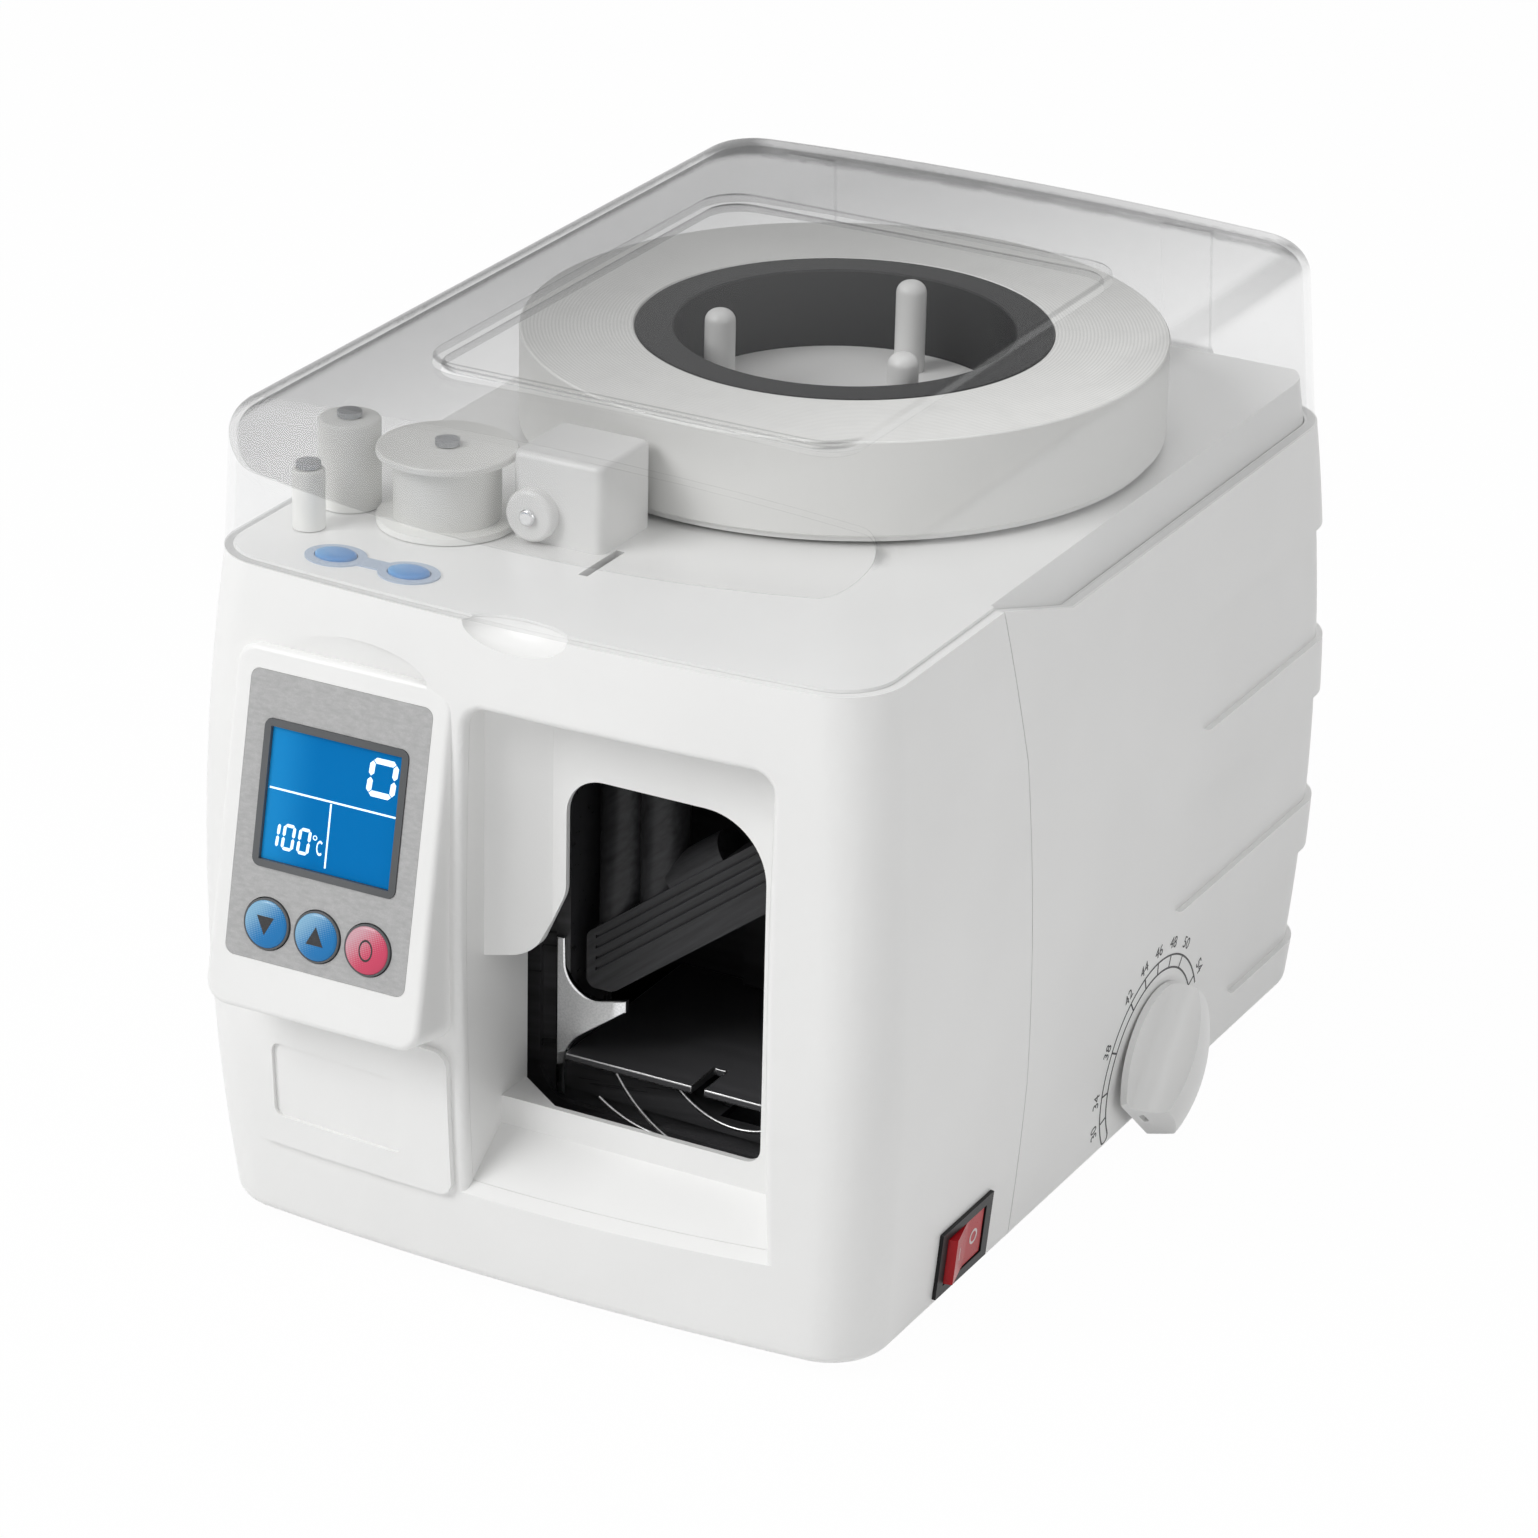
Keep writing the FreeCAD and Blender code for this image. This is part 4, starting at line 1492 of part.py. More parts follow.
def main():
    """Build every piece, then write the files."""
    front_housing()
    rear_housing()
    base_and_feet()
    tray_deck()
    reel()
    deck_rollers()
    guide_block()
    feed_keys()
    console()
    slot_liner()
    note_table()
    tape_track()
    chrome_deflector()
    chamber_shells()
    upper_guide()
    chassis_plate()
    feed_mechanism()
    press_mechanism()
    dial()
    note_stop()
    power_switch()
    power_inlet()
    electrics()
    dust_cover()
    save_all()


main()
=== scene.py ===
"""Banknote strapping machine: finishes and fine detail round its CAD frame.

Every size and place comes from the frame. Curved mouldings are shown by merged and smoothed
skins of their CAD nodes. What the CAD only stands for, such as print, digits, domed keys and
wound paper, is modelled here in millimetres and placed in the row frame.
"""

import json
import logging
import math
from dataclasses import dataclass
from enum import Enum
from typing import Any, Sequence

import bmesh
import bpy
from mathutils import Matrix, Vector
from mathutils.bvhtree import BVHTree

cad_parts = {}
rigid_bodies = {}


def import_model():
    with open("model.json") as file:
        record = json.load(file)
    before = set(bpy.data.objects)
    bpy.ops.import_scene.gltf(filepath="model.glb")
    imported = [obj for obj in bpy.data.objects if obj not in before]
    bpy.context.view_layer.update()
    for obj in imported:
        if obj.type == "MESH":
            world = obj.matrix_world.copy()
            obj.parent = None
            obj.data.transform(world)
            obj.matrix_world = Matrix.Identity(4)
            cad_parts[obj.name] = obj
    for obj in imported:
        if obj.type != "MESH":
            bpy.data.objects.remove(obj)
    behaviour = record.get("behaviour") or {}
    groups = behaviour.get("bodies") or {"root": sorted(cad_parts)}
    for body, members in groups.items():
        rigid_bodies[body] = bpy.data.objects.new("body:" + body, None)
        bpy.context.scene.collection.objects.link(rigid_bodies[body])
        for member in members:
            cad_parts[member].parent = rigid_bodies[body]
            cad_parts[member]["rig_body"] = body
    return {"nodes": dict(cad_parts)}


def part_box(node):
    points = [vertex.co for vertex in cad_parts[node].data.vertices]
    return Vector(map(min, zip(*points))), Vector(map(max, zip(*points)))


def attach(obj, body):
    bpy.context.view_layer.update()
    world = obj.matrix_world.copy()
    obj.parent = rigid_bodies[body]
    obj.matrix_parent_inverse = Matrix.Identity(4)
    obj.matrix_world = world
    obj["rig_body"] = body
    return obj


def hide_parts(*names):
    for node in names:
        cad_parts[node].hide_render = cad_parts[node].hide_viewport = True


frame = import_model()

LOG = logging.getLogger("strapping_machine")
MM = 0.001
MERGE = 1e-6          # metres within which the CAD mesh's loose corners are one
JOIN = 1e-4           # millimetres within which corners of a modelled mesh are one
INK = (0.0, 0.05)     # foot and top of printed ink, in millimetres
LIT = (0.02, 0.06)    # foot and top of the display's lit marks
LIFT = 0.02           # how far ink stands clear of, or sinks into, what carries it

Socket = bpy.types.NodeSocket
Piece = bpy.types.Object
Mesh = bmesh.types.BMesh
Pair = tuple[float, float]
Triple = tuple[float, float, float]


# --- small tools --------------------------------------------------------------
def linear(code: str) -> tuple[float, float, float, float]:
    """Turn an sRGB hex colour into a linear one.

    Args:
        code: Six hex digits, such as "F2F2F0".

    Returns:
        Linear red, green and blue, and an alpha of one.
    """
    shares = [int(code[index:index + 2], 16) / 255 for index in (0, 2, 4)]
    curved = [s / 12.92 if s <= 0.04045 else ((s + 0.055) / 1.055) ** 2.4 for s in shares]
    return (curved[0], curved[1], curved[2], 1.0)


def add(tree: "Tree", kind: str, inputs: dict[Any, Any] | None = None,
        **settings: Any) -> bpy.types.Node:
    """Add one node with its settings, and set or link its inputs.

    Args:
        tree: Node tree that takes the node.
        kind: Node type.
        inputs: Value or output socket for each input, by name or number.
        **settings: Properties of the node itself.

    Returns:
        The new node.
    """
    made = tree.nodes.new(kind)
    for name, value in settings.items():
        setattr(made, name, value)
    for key, value in (inputs or {}).items():
        if isinstance(value, Socket):
            tree.links.new(value, made.inputs[key])
        else:
            made.inputs[key].default_value = value
    return made


def per_mm(size: float) -> float:
    """Texture scale, per metre, for a pattern that repeats over a size in millimetres."""
    return 1 / (size * MM)


def box_mm(node: str) -> tuple[Vector, Vector]:
    """Lowest and highest corner of a CAD node, in millimetres."""
    low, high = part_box(node)
    return low / MM, high / MM


# --- finishes -----------------------------------------------------------------
class Tree:
    """A node tree in the making, with the steps that materials share."""

    def __init__(self, made: bpy.types.NodeTree) -> None:
        """Start from an empty tree."""
        made.nodes.clear()
        self.nodes, self.links = made.nodes, made.links

    def place(self, centre: Sequence[float] = (0, 0, 0),
              turn: Sequence[float] = (0, 0, 0), stretch: Sequence[float] = (1, 1, 1)) -> Socket:
        """Give pattern coordinates in the machine's own metres.

        Args:
            centre: Point in metres that becomes the pattern's middle.
            turn: Angles in radians that turn the pattern.
            stretch: Scale along each direction of the turned pattern.

        Returns:
            The coordinates' socket.
        """
        source = add(self, "ShaderNodeTexCoord").outputs["Object"]
        moved = add(self, "ShaderNodeVectorMath", {0: source, 1: tuple(centre)},
                    operation="SUBTRACT").outputs[0]
        turned = add(self, "ShaderNodeMapping", {"Vector": moved,
                                                 "Rotation": tuple(turn)}).outputs[0]
        return add(self, "ShaderNodeVectorMath", {0: turned, 1: tuple(stretch)},
                   operation="MULTIPLY").outputs[0]

    def maths(self, operation: str, *terms: Any) -> Socket:
        """Work out one step of arithmetic on numbers or sockets."""
        return add(self, "ShaderNodeMath", dict(enumerate(terms)), operation=operation).outputs[0]

    def noise(self, at: Socket, size_mm: float, detail: float = 2.0,
              roughness: float = 0.5) -> Socket:
        """Noise whose cells have a size in millimetres."""
        return add(self, "ShaderNodeTexNoise",
                   {"Vector": at, "Scale": per_mm(size_mm), "Detail": detail,
                    "Roughness": roughness}).outputs[0]

    def relief(self, height: Socket, strength: float, depth_mm: float) -> Socket:
        """Normal of a surface that a pattern raises by a depth in millimetres."""
        return add(self, "ShaderNodeBump", {"Height": height, "Strength": strength,
                                            "Distance": depth_mm * MM}).outputs[0]

    def between(self, share: Socket, low: str, high: str) -> Socket:
        """Blend two sRGB colours by a share, and return the colour's socket."""
        return add(self, "ShaderNodeMix", {0: share, 6: linear(low), 7: linear(high)},
                   data_type="RGBA").outputs[2]

    def ranged(self, share: Socket, low: float, high: float, start: float = 0.3,
               end: float = 0.7) -> Socket:
        """Map a pattern's values from start to end onto low to high."""
        return add(self, "ShaderNodeMapRange",
                   {"Value": share, "From Min": start, "From Max": end, "To Min": low,
                    "To Max": high}).outputs[0]

    def toned(self, pattern: Socket, low: str, high: str, start: float = 0.3,
              end: float = 0.7) -> Socket:
        """Blend two sRGB colours by a pattern's values from start to end."""
        return self.between(self.ranged(pattern, 0.0, 1.0, start, end), low, high)

    def surface(self, tone: Socket, roughness: Socket | float, **more: Any) -> Socket:
        """Principled shader; more names its other inputs, with _ for each space."""
        named = {key.replace("_", " "): value for key, value in more.items()}
        return add(self, "ShaderNodeBsdfPrincipled",
                   {"Base Color": tone, "Roughness": roughness, **named}).outputs[0]


@dataclass(frozen=True)
class Finish:
    """What a surface is made of. Each finish builds its material once.

    The name tells material and process; colour and shade are sRGB hex codes.
    """

    name: str
    colour: str
    shade: str

    def material(self) -> bpy.types.Material:
        """Return the finish's material, built at its first use."""
        made = bpy.data.materials.get(self.name)
        if made is None:
            made = bpy.data.materials.new(self.name)
            made.use_nodes = True
            tree = Tree(made.node_tree)
            add(tree, "ShaderNodeOutputMaterial", {"Surface": self.shader(tree)})
        return made

    def shader(self, tree: Tree) -> Socket:
        """Build the finish's nodes and return the shader's output."""
        raise NotImplementedError


@dataclass(frozen=True)
class MouldedPlastic(Finish):
    """Injection-moulded plastic from an eroded tool: satin, with a fine even grain.

    The grain of such a tool is about 0.1 mm and can't show; it is drawn at grain_mm.
    """

    roughness: float = 0.36
    grain_mm: float = 0.55
    grain_depth_mm: float = 0.012
    cloud_mm: float = 60.0
    ior: float = 1.53
    sheen: float = 0.5

    def shader(self, tree: Tree) -> Socket:
        """Satin plastic: slow tone change, fine grain in the gloss and the surface."""
        at = tree.place()
        cloud = tree.noise(at, self.cloud_mm)
        grain = tree.noise(at, self.grain_mm, 3.0)
        gloss = tree.ranged(grain, self.roughness - 0.03, self.roughness + 0.04)
        return tree.surface(tree.toned(cloud, self.shade, self.colour), gloss,
                            IOR=self.ior, Specular_IOR_Level=self.sheen,
                            Normal=tree.relief(grain, 0.5, self.grain_depth_mm))


@dataclass(frozen=True)
class ClearPlastic(Finish):
    """Polycarbonate, injection moulded and polished: clear, thin, with a faint grey tint.

    A thin wall bends what lies behind it so little that nearly all light is let straight
    through, and its upright walls carry a thin pale painted sheen. Where the top turns over
    an edge the eye looks along the wall, through more plastic, and it gathers grey; that rim
    is made darker on the left and on the end walls as painted shade, and the left of the top
    carries a grey painted shade too. Shares of hiding: clear on plain walls, painted shade
    over the left of the top, rim added where it turns, painted sheen added on upright walls.
    Its shade colour is the pale painted sheen.
    """

    clear: float
    # share hidden by the painted shade over the left of the top
    left_shade: float
    rim: float = 0.42
    # reach, lean and raised shape that painted shade
    reach_mm: Pair = (90.0, -90.0)
    faces: tuple[Triple, ...] = ((0, 0, 1), (0.992, 0, 0.12), (0, 1, 0), (0, 0.72, 0.69))
    spread: float = 0.24
    # share hidden by the pale painted sheen on upright walls
    wall_sheen: float = 0.07
    lean_deg: float = 20.0
    raised_mm: Pair = (264.6, 265.4)
    raised_share: float = 0.3
    shadow: float = 0.15
    roughness: float = 0.03
    ior: float = 1.5

    def edge_share(self, tree: Tree, facing: Socket) -> Socket:
        """Zero on the cover's main faces, one where the surface turns between them."""
        away = [add(tree, "ShaderNodeVectorMath", {0: facing, 1: face},
                    operation="DISTANCE").outputs["Value"] for face in self.faces]
        nearest = away[0]
        for distance in away[1:]:
            nearest = tree.maths("MINIMUM", nearest, distance)
        return tree.ranged(nearest, 0.0, 1.0, self.spread * 0.5, self.spread * 1.6)

    def shader(self, tree: Tree) -> Socket:
        """Polished skin that hides little, more where the plastic is deeper, with painted shade
        over the left of the top and on the rim, and a pale painted sheen on upright walls.
        """
        facing = add(tree, "ShaderNodeTexCoord").outputs["Normal"]
        facing = add(tree, "ShaderNodeVectorMath", {0: facing}, operation="ABSOLUTE").outputs[0]
        sides = add(tree, "ShaderNodeSeparateXYZ", {0: facing}).outputs
        upward = tree.ranged(sides[2], 0.0, 1.0, 0.15, 0.5)
        endways = tree.ranged(sides[1], 0.0, 1.0, 0.1, 0.5)
        spot = tree.place(turn=(0, 0, math.radians(self.lean_deg)))
        across, _deep, height = add(tree, "ShaderNodeSeparateXYZ", {0: spot}).outputs
        left = tree.ranged(across, 0.0, 1.0, *(reach * MM for reach in self.reach_mm))
        raised = tree.ranged(height, 1.0, self.raised_share,
                             *(level * MM for level in self.raised_mm))
        # painted shade over the left of the top, weaker on the raised plateau
        painted_left_shade = tree.maths("MULTIPLY", upward, left)
        painted_left_shade = tree.maths("MULTIPLY", painted_left_shade, raised)
        # rim darker on the left and on the end walls: painted shade over the real grey of a deeper
        # path
        deep = tree.maths("MAXIMUM", left, endways)
        deep = tree.maths("MULTIPLY", deep, upward)
        turned = tree.maths("MULTIPLY", deep, self.edge_share(tree, facing))
        wall = tree.maths("ADD", tree.ranged(painted_left_shade, self.clear, self.left_shade, 0.0, 1.0),
                          tree.ranged(upward, self.wall_sheen, 0.0, 0.0, 1.0))
        hidden = tree.maths("MULTIPLY_ADD", turned, self.rim, wall)
        lamp_ray = add(tree, "ShaderNodeLightPath").outputs["Is Shadow Ray"]
        hidden = tree.maths("MULTIPLY", hidden, tree.ranged(lamp_ray, 1.0, self.shadow, 0.0, 1.0))
        # pale shade colour on upright walls is painted sheen; the dark colour is the tint, which
        # also carries the painted shade
        return tree.surface(tree.between(upward, self.shade, self.colour),
                            self.roughness, IOR=self.ior, Alpha=hidden)


class Lay(Enum):
    """Direction in which a metal surface was worked, as a stretch of its pattern."""

    NONE = (1.0, 1.0, 1.0)
    ACROSS = (0.04, 1.0, 1.0)
    DEEP = (1.0, 0.04, 1.0)


@dataclass(frozen=True)
class WorkedMetal(Finish):
    """Plated or milled metal: full reflection, streaked along the way it was worked."""

    roughness: float
    spread: float
    lay: Lay = Lay.NONE
    streak_mm: float = 0.6
    streak_depth_mm: float = 0.004

    def shader(self, tree: Tree) -> Socket:
        """Metal with its gloss broken up by fine streaks."""
        streak = tree.noise(tree.place(stretch=self.lay.value), self.streak_mm, 3.0)
        gloss = tree.ranged(streak, self.roughness, self.roughness + self.spread)
        return tree.surface(tree.toned(streak, self.shade, self.colour), gloss,
                            Metallic=1.0, Normal=tree.relief(streak, 0.35, self.streak_depth_mm))


@dataclass(frozen=True)
class CoatedSteel(Finish):
    """Steel sheet with a black gloss coat, rubbed by notes into soft slanting streaks; their
    lighter tone is painted reflection.
    """

    roughness: float
    streak_mm: float
    turn_deg: float = 0.0
    streak_depth_mm: float = 0.02
    sheen: float = 0.5
    stretch: Triple = (0.06, 1.0, 1.0)

    def shader(self, tree: Tree) -> Socket:
        """Dark coat whose gloss and tone change in long streaks."""
        at = tree.place(turn=(0, math.radians(self.turn_deg), 0), stretch=self.stretch)
        streak = tree.noise(at, self.streak_mm, 4.0)
        gloss = tree.ranged(streak, self.roughness, self.roughness + 0.2)
        # the lighter tone along the streaks is painted reflection; the gloss and bump follow the
        # rubbing
        return tree.surface(tree.toned(streak, self.colour, self.shade), gloss,
                            IOR=1.5, Specular_IOR_Level=self.sheen,
                            Normal=tree.relief(streak, 0.6, self.streak_depth_mm))


@dataclass(frozen=True)
class WoundPaper(Finish):
    """Kraft paper tape wound tight: matt white, its edges showing as fine rings.

    Such tape is about 0.12 mm thick, too fine to show; rings are drawn turn_mm apart.
    """

    centre_m: Triple
    turn_mm: float
    roughness: float = 0.72
    fibre_mm: float = 9.0
    ring_depth_mm: float = 0.03

    def shader(self, tree: Tree) -> Socket:
        """Rings round the roll's axis over a faint fibre mottle."""
        at = tree.place(centre=self.centre_m)
        wave_step = 2 * math.pi / 20          # the wave's own ring spacing at scale one
        rings = add(tree, "ShaderNodeTexWave",
                    {"Vector": at, "Scale": wave_step * per_mm(self.turn_mm),
                     "Distortion": 0.6, "Detail": 2.0, "Detail Scale": 0.4},
                    wave_type="RINGS", rings_direction="Z").outputs["Fac"]
        both = tree.maths("MULTIPLY", rings, tree.noise(at, self.fibre_mm, 5.0))
        return tree.surface(tree.toned(both, self.shade, self.colour, 0.0, 0.45),
                            self.roughness, Normal=tree.relief(rings, 0.35, self.ring_depth_mm))


@dataclass(frozen=True)
class PrintedFilm(Finish):
    """Polyester film, screen printed in silver: soft metallic grey with a fine fleck.

    The silver's flakes are about 0.05 mm; they are drawn at fleck_mm so that they show.
    """

    fleck_mm: float
    metallic: float
    roughness: float = 0.42
    brush_mm: float = 1.1

    def shader(self, tree: Tree) -> Socket:
        """Flecked silver with slow clouds under a matt top coat."""
        fleck = tree.noise(tree.place(), self.fleck_mm, 4.0, 0.7)
        brushed = tree.noise(tree.place(stretch=(0.4, 1.0, 1.0)), self.brush_mm)
        both = tree.maths("MULTIPLY", fleck, brushed)
        gloss = tree.ranged(fleck, self.roughness - 0.06, self.roughness + 0.08)
        return tree.surface(tree.toned(both, self.shade, self.colour, 0.12, 0.38),
                            gloss, Metallic=self.metallic)


@dataclass(frozen=True)
class BacklitDisplay(Finish):
    """Liquid-crystal glass over a blue backlight: even glow, paler towards its lamp side."""

    glow: float
    lamp_side_m: Triple
    reach_mm: float

    def shader(self, tree: Tree) -> Socket:
        """Glowing blue that fades away from the lamp, behind glossy glass."""
        at = tree.place(centre=self.lamp_side_m)
        along = add(tree, "ShaderNodeSeparateXYZ", {0: at}).outputs[0]
        fade = add(tree, "ShaderNodeMapRange",
                   {"Value": along, "From Min": 0.0, "From Max": self.reach_mm * MM,
                    "To Min": 0.0, "To Max": 1.0}, interpolation_type="SMOOTHSTEP").outputs[0]
        tone = tree.between(fade, self.shade, self.colour)
        return tree.surface(tone, 0.2, Specular_IOR_Level=0.06, Emission_Color=tone,
                            Emission_Strength=self.glow)


@dataclass(frozen=True)
class DomedKey(Finish):
    """Clear epoxy dome over a halftone print: glossy, dots shading from pale to deep.

    Print dots are about 0.2 mm; they are drawn dot_mm apart so that they show.
    """

    centre_m: Triple
    radius_mm: float
    dot_mm: float = 0.55
    face: Triple = (1.0, 0.0, 1.0)

    def shader(self, tree: Tree) -> Socket:
        """Halftone that turns from the pale to the deep colour across the key."""
        at = tree.place(centre=self.centre_m)
        across, _deep, height = add(tree, "ShaderNodeSeparateXYZ", {0: at}).outputs
        slant = tree.maths("SUBTRACT", across, height)
        shade = tree.ranged(slant, 0.0, 1.0, -self.radius_mm * MM, self.radius_mm * MM)
        sheet = tree.place(centre=self.centre_m, stretch=self.face)
        dots = add(tree, "ShaderNodeTexVoronoi", {"Vector": sheet, "Scale": per_mm(self.dot_mm),
                                                  "Randomness": 0.0}).outputs[0]
        edge = tree.maths("ADD", shade, dots)
        return tree.surface(tree.toned(edge, self.shade, self.colour, 0.35, 1.0), 0.18,
                            Specular_IOR_Level=0.25)


@dataclass(frozen=True)
class MouldedRubber(Finish):
    """Nitrile rubber, compression moulded: matt, with a dusty bloom."""

    grain_mm: float = 1.1
    grain_depth_mm: float = 0.05

    def shader(self, tree: Tree) -> Socket:
        """Matt rubber with a fine pebble and bloom."""
        grain = tree.noise(tree.place(), self.grain_mm, 4.0)
        return tree.surface(tree.toned(grain, self.colour, self.shade), 0.78,
                            Normal=tree.relief(grain, 0.5, self.grain_depth_mm))


@dataclass(frozen=True)
class MaskedBoard(Finish):
    """Glass-epoxy circuit board with a green mask: glossy, traces showing as paler lines."""

    cell_mm: float = 5.0

    def shader(self, tree: Tree) -> Socket:
        """Traces along the edges of cells, under a glossy mask."""
        cells = add(tree, "ShaderNodeTexVoronoi",
                    {"Vector": tree.place(), "Scale": per_mm(self.cell_mm)},
                    feature="DISTANCE_TO_EDGE", distance="EUCLIDEAN").outputs[0]
        line = tree.ranged(cells, 1.0, 0.0, 0.03, 0.08)
        return tree.surface(tree.between(line, self.colour, self.shade), 0.3, IOR=1.55)


@dataclass(frozen=True)
class PrintedInk(Finish):
    """Screen ink: a thin, nearly matt film, a little uneven where the mesh laid it down."""

    glow: float = 0.0
    mesh_mm: float = 0.5

    def shader(self, tree: Tree) -> Socket:
        """Ink with a fine mesh mottle, lit from behind where it glows."""
        marks = tree.noise(tree.place(), self.mesh_mm)
        tone = tree.toned(marks, self.shade, self.colour)
        return tree.surface(tone, 0.5, Emission_Color=tone, Emission_Strength=self.glow)


SHELL_ABS = MouldedPlastic("abs_white_satin_moulded", "F2F2F1", "EEEEED", 0.38)
DECK_ABS = MouldedPlastic("abs_white_deck_moulded", "EDEDEC", "E8E8E7", 0.32)
KNOB_ABS = MouldedPlastic("abs_white_knob_moulded", "EEEEED", "E9E9E8", 0.34)
# dark colour: the plastic's tint, also the painted shade; pale shade colour: painted sheen on
# upright walls
COVER_PC = ClearPlastic("polycarbonate_clear_moulded", "2C2D2F", "E9EAEB", 0.03, 0.36)
# folded edges hide more: painted shade along the folds
COVER_FOLD_SHADE_PC = ClearPlastic("polycarbonate_clear_fold_shade", "2C2D2F", "E9EAEB", 0.3, 0.6)
CORE_PS = MouldedPlastic("polystyrene_black_moulded", "1C1C1D", "141416", 0.42, 0.9, 0.02,
                         sheen=0.2)
BEZEL_ABS = MouldedPlastic("abs_dark_grey_bezel_moulded", "5A5C5E", "4C4E50", 0.35)
NYLON_BLACK = MouldedPlastic("nylon_black_moulded", "1B1B1C", "141415", 0.4, sheen=0.2)
ROCKER_PC = MouldedPlastic("polycarbonate_red_moulded", "B81420", "A6101A", 0.3, sheen=0.2)
SURROUND_PC = MouldedPlastic("polycarbonate_grey_blue_moulded", "A9B8CC", "9DAEC4", 0.25)
ACETAL = MouldedPlastic("acetal_white_turned", "F1F1EE", "EAEAE7", 0.3)
# the coats' lighter shade colours give streaks of painted reflection
CHAMBER_COAT = CoatedSteel("steel_black_gloss_coated", "2A2A2B", "323234", 0.3, 4.0, 0.0, 0.002,
                           0.22)
TABLE_COAT = CoatedSteel("steel_black_table_coated", "4E4E50", "565658", 0.3, 5.0, 0.0, 0.001)
TRACK_COAT = CoatedSteel("steel_black_worn_glint_streaked_coated", "333334", "464648", 0.26, 2.6, 8.0, 0.004, 0.4)
GUIDE_COAT = CoatedSteel("steel_black_rubbed_glint_streaked_coated", "262627", "3A3A3C", 0.3, 1.6, 39.0, 0.002,
                         0.25)
# bright steel for worn edges, also the painted highlight on the table's edges and the track's arcs
WORN_EDGE_HIGHLIGHT = WorkedMetal("steel_edge_worn_painted_highlight", "D6D6D6", "A8A8A8", 0.3, 0.1)
BLUED = WorkedMetal("steel_blued_ground", "3B3B40", "2B2B2F", 0.35, 0.12)
CHROME = WorkedMetal("steel_chrome_plated", "EDEDEE", "D6D7D8", 0.05, 0.06)
ZINC = WorkedMetal("steel_zinc_plated", "BFC1C3", "9EA0A3", 0.28, 0.14, Lay.ACROSS)
MOTOR_STEEL = WorkedMetal("steel_drawn_can", "A9ABAD", "8A8C8F", 0.3, 0.15, Lay.DEEP)
RUBBER = MouldedRubber("rubber_nitrile_moulded", "1B1B1C", "2B2B2C")
BOARD = MaskedBoard("glass_epoxy_green_masked", "1C5A34", "3E8A55")
FILM = PrintedFilm("polyester_film_silver_printed", "B6B6B6", "A6A6A6", 0.42, 0.25)
INK_BLACK = PrintedInk("ink_black_screened", "1E1E1F", "333335")
INK_PALE = PrintedInk("ink_white_screened", "E8DCDC", "D8C8C8")
LCD_MARK = PrintedInk("lcd_segment_lit", "DDF3FF", "CDEBFB", 0.75)


# --- mesh tools ---------------------------------------------------------------
def shown(name: str, data: bpy.types.ID) -> Piece:
    """Put a mesh, lamp or camera into the scene as an object."""
    piece = bpy.data.objects.new(name, data)
    bpy.context.scene.collection.objects.link(piece)
    return piece


def make(mesh: Mesh, name: str, finish: Finish, crease: float = 32.0) -> Piece:
    """Turn a bmesh in metres into a shaded object at the origin.

    Args:
        mesh: The bmesh, which is freed.
        name: Name of the piece.
        finish: What it is made of.
        crease: Angle in degrees from which an edge stays sharp.

    Returns:
        The new object.
    """
    for face in mesh.faces:
        face.smooth = True
    for edge in mesh.edges:
        edge.smooth = len(edge.link_faces) == 2 and \
            edge.calc_face_angle(math.pi) < math.radians(crease)
    data = bpy.data.meshes.new(name)
    mesh.to_mesh(data)
    mesh.free()
    data.materials.append(finish.material())
    return shown(name, data)


def even_out(piece: Piece) -> None:
    """Let large flat faces set the shading where they meet small round ones."""
    shading = piece.modifiers.new("even_shading", "WEIGHTED_NORMAL")
    shading.keep_sharp = True
    shading.weight = 50


def merged_skin(node: str, finish: Finish, crease: float = 32.0) -> Piece:
    """Copy a CAD node's mesh, join its loose corners and shade it smooth.

    Args:
        node: Name of the CAD node.
        finish: What the skin is made of.
        crease: Angle in degrees from which an edge stays sharp.

    Returns:
        The skin, named after the node.
    """
    mesh = bmesh.new()
    mesh.from_mesh(frame["nodes"][node].data)
    bmesh.ops.remove_doubles(mesh, verts=mesh.verts, dist=MERGE)
    bmesh.ops.dissolve_degenerate(mesh, edges=mesh.edges, dist=MERGE)
    piece = make(mesh, node + "_skin", finish, crease)
    even_out(piece)
    return piece


def carried(mesh: Mesh, way: Matrix) -> Mesh:
    """Carry a bmesh by a matrix, in its own units."""
    bmesh.ops.transform(mesh, matrix=way, verts=mesh.verts)
    return mesh


def set_down(mesh: Mesh, place: Matrix) -> Mesh:
    """Carry a bmesh from millimetres in its own plane to metres in the row frame."""
    return carried(mesh, Matrix.Scale(MM, 4) @ place)


def thicken(mesh: Mesh, faces: Sequence[bmesh.types.BMFace], depth: float) -> Mesh:
    """Give flat faces a body upwards, and turn all faces outwards."""
    made = bmesh.ops.extrude_face_region(mesh, geom=faces)["geom"]
    raised = [item for item in made if isinstance(item, bmesh.types.BMVert)]
    bmesh.ops.translate(mesh, vec=(0, 0, depth), verts=raised)
    bmesh.ops.recalc_face_normals(mesh, faces=mesh.faces)
    return mesh


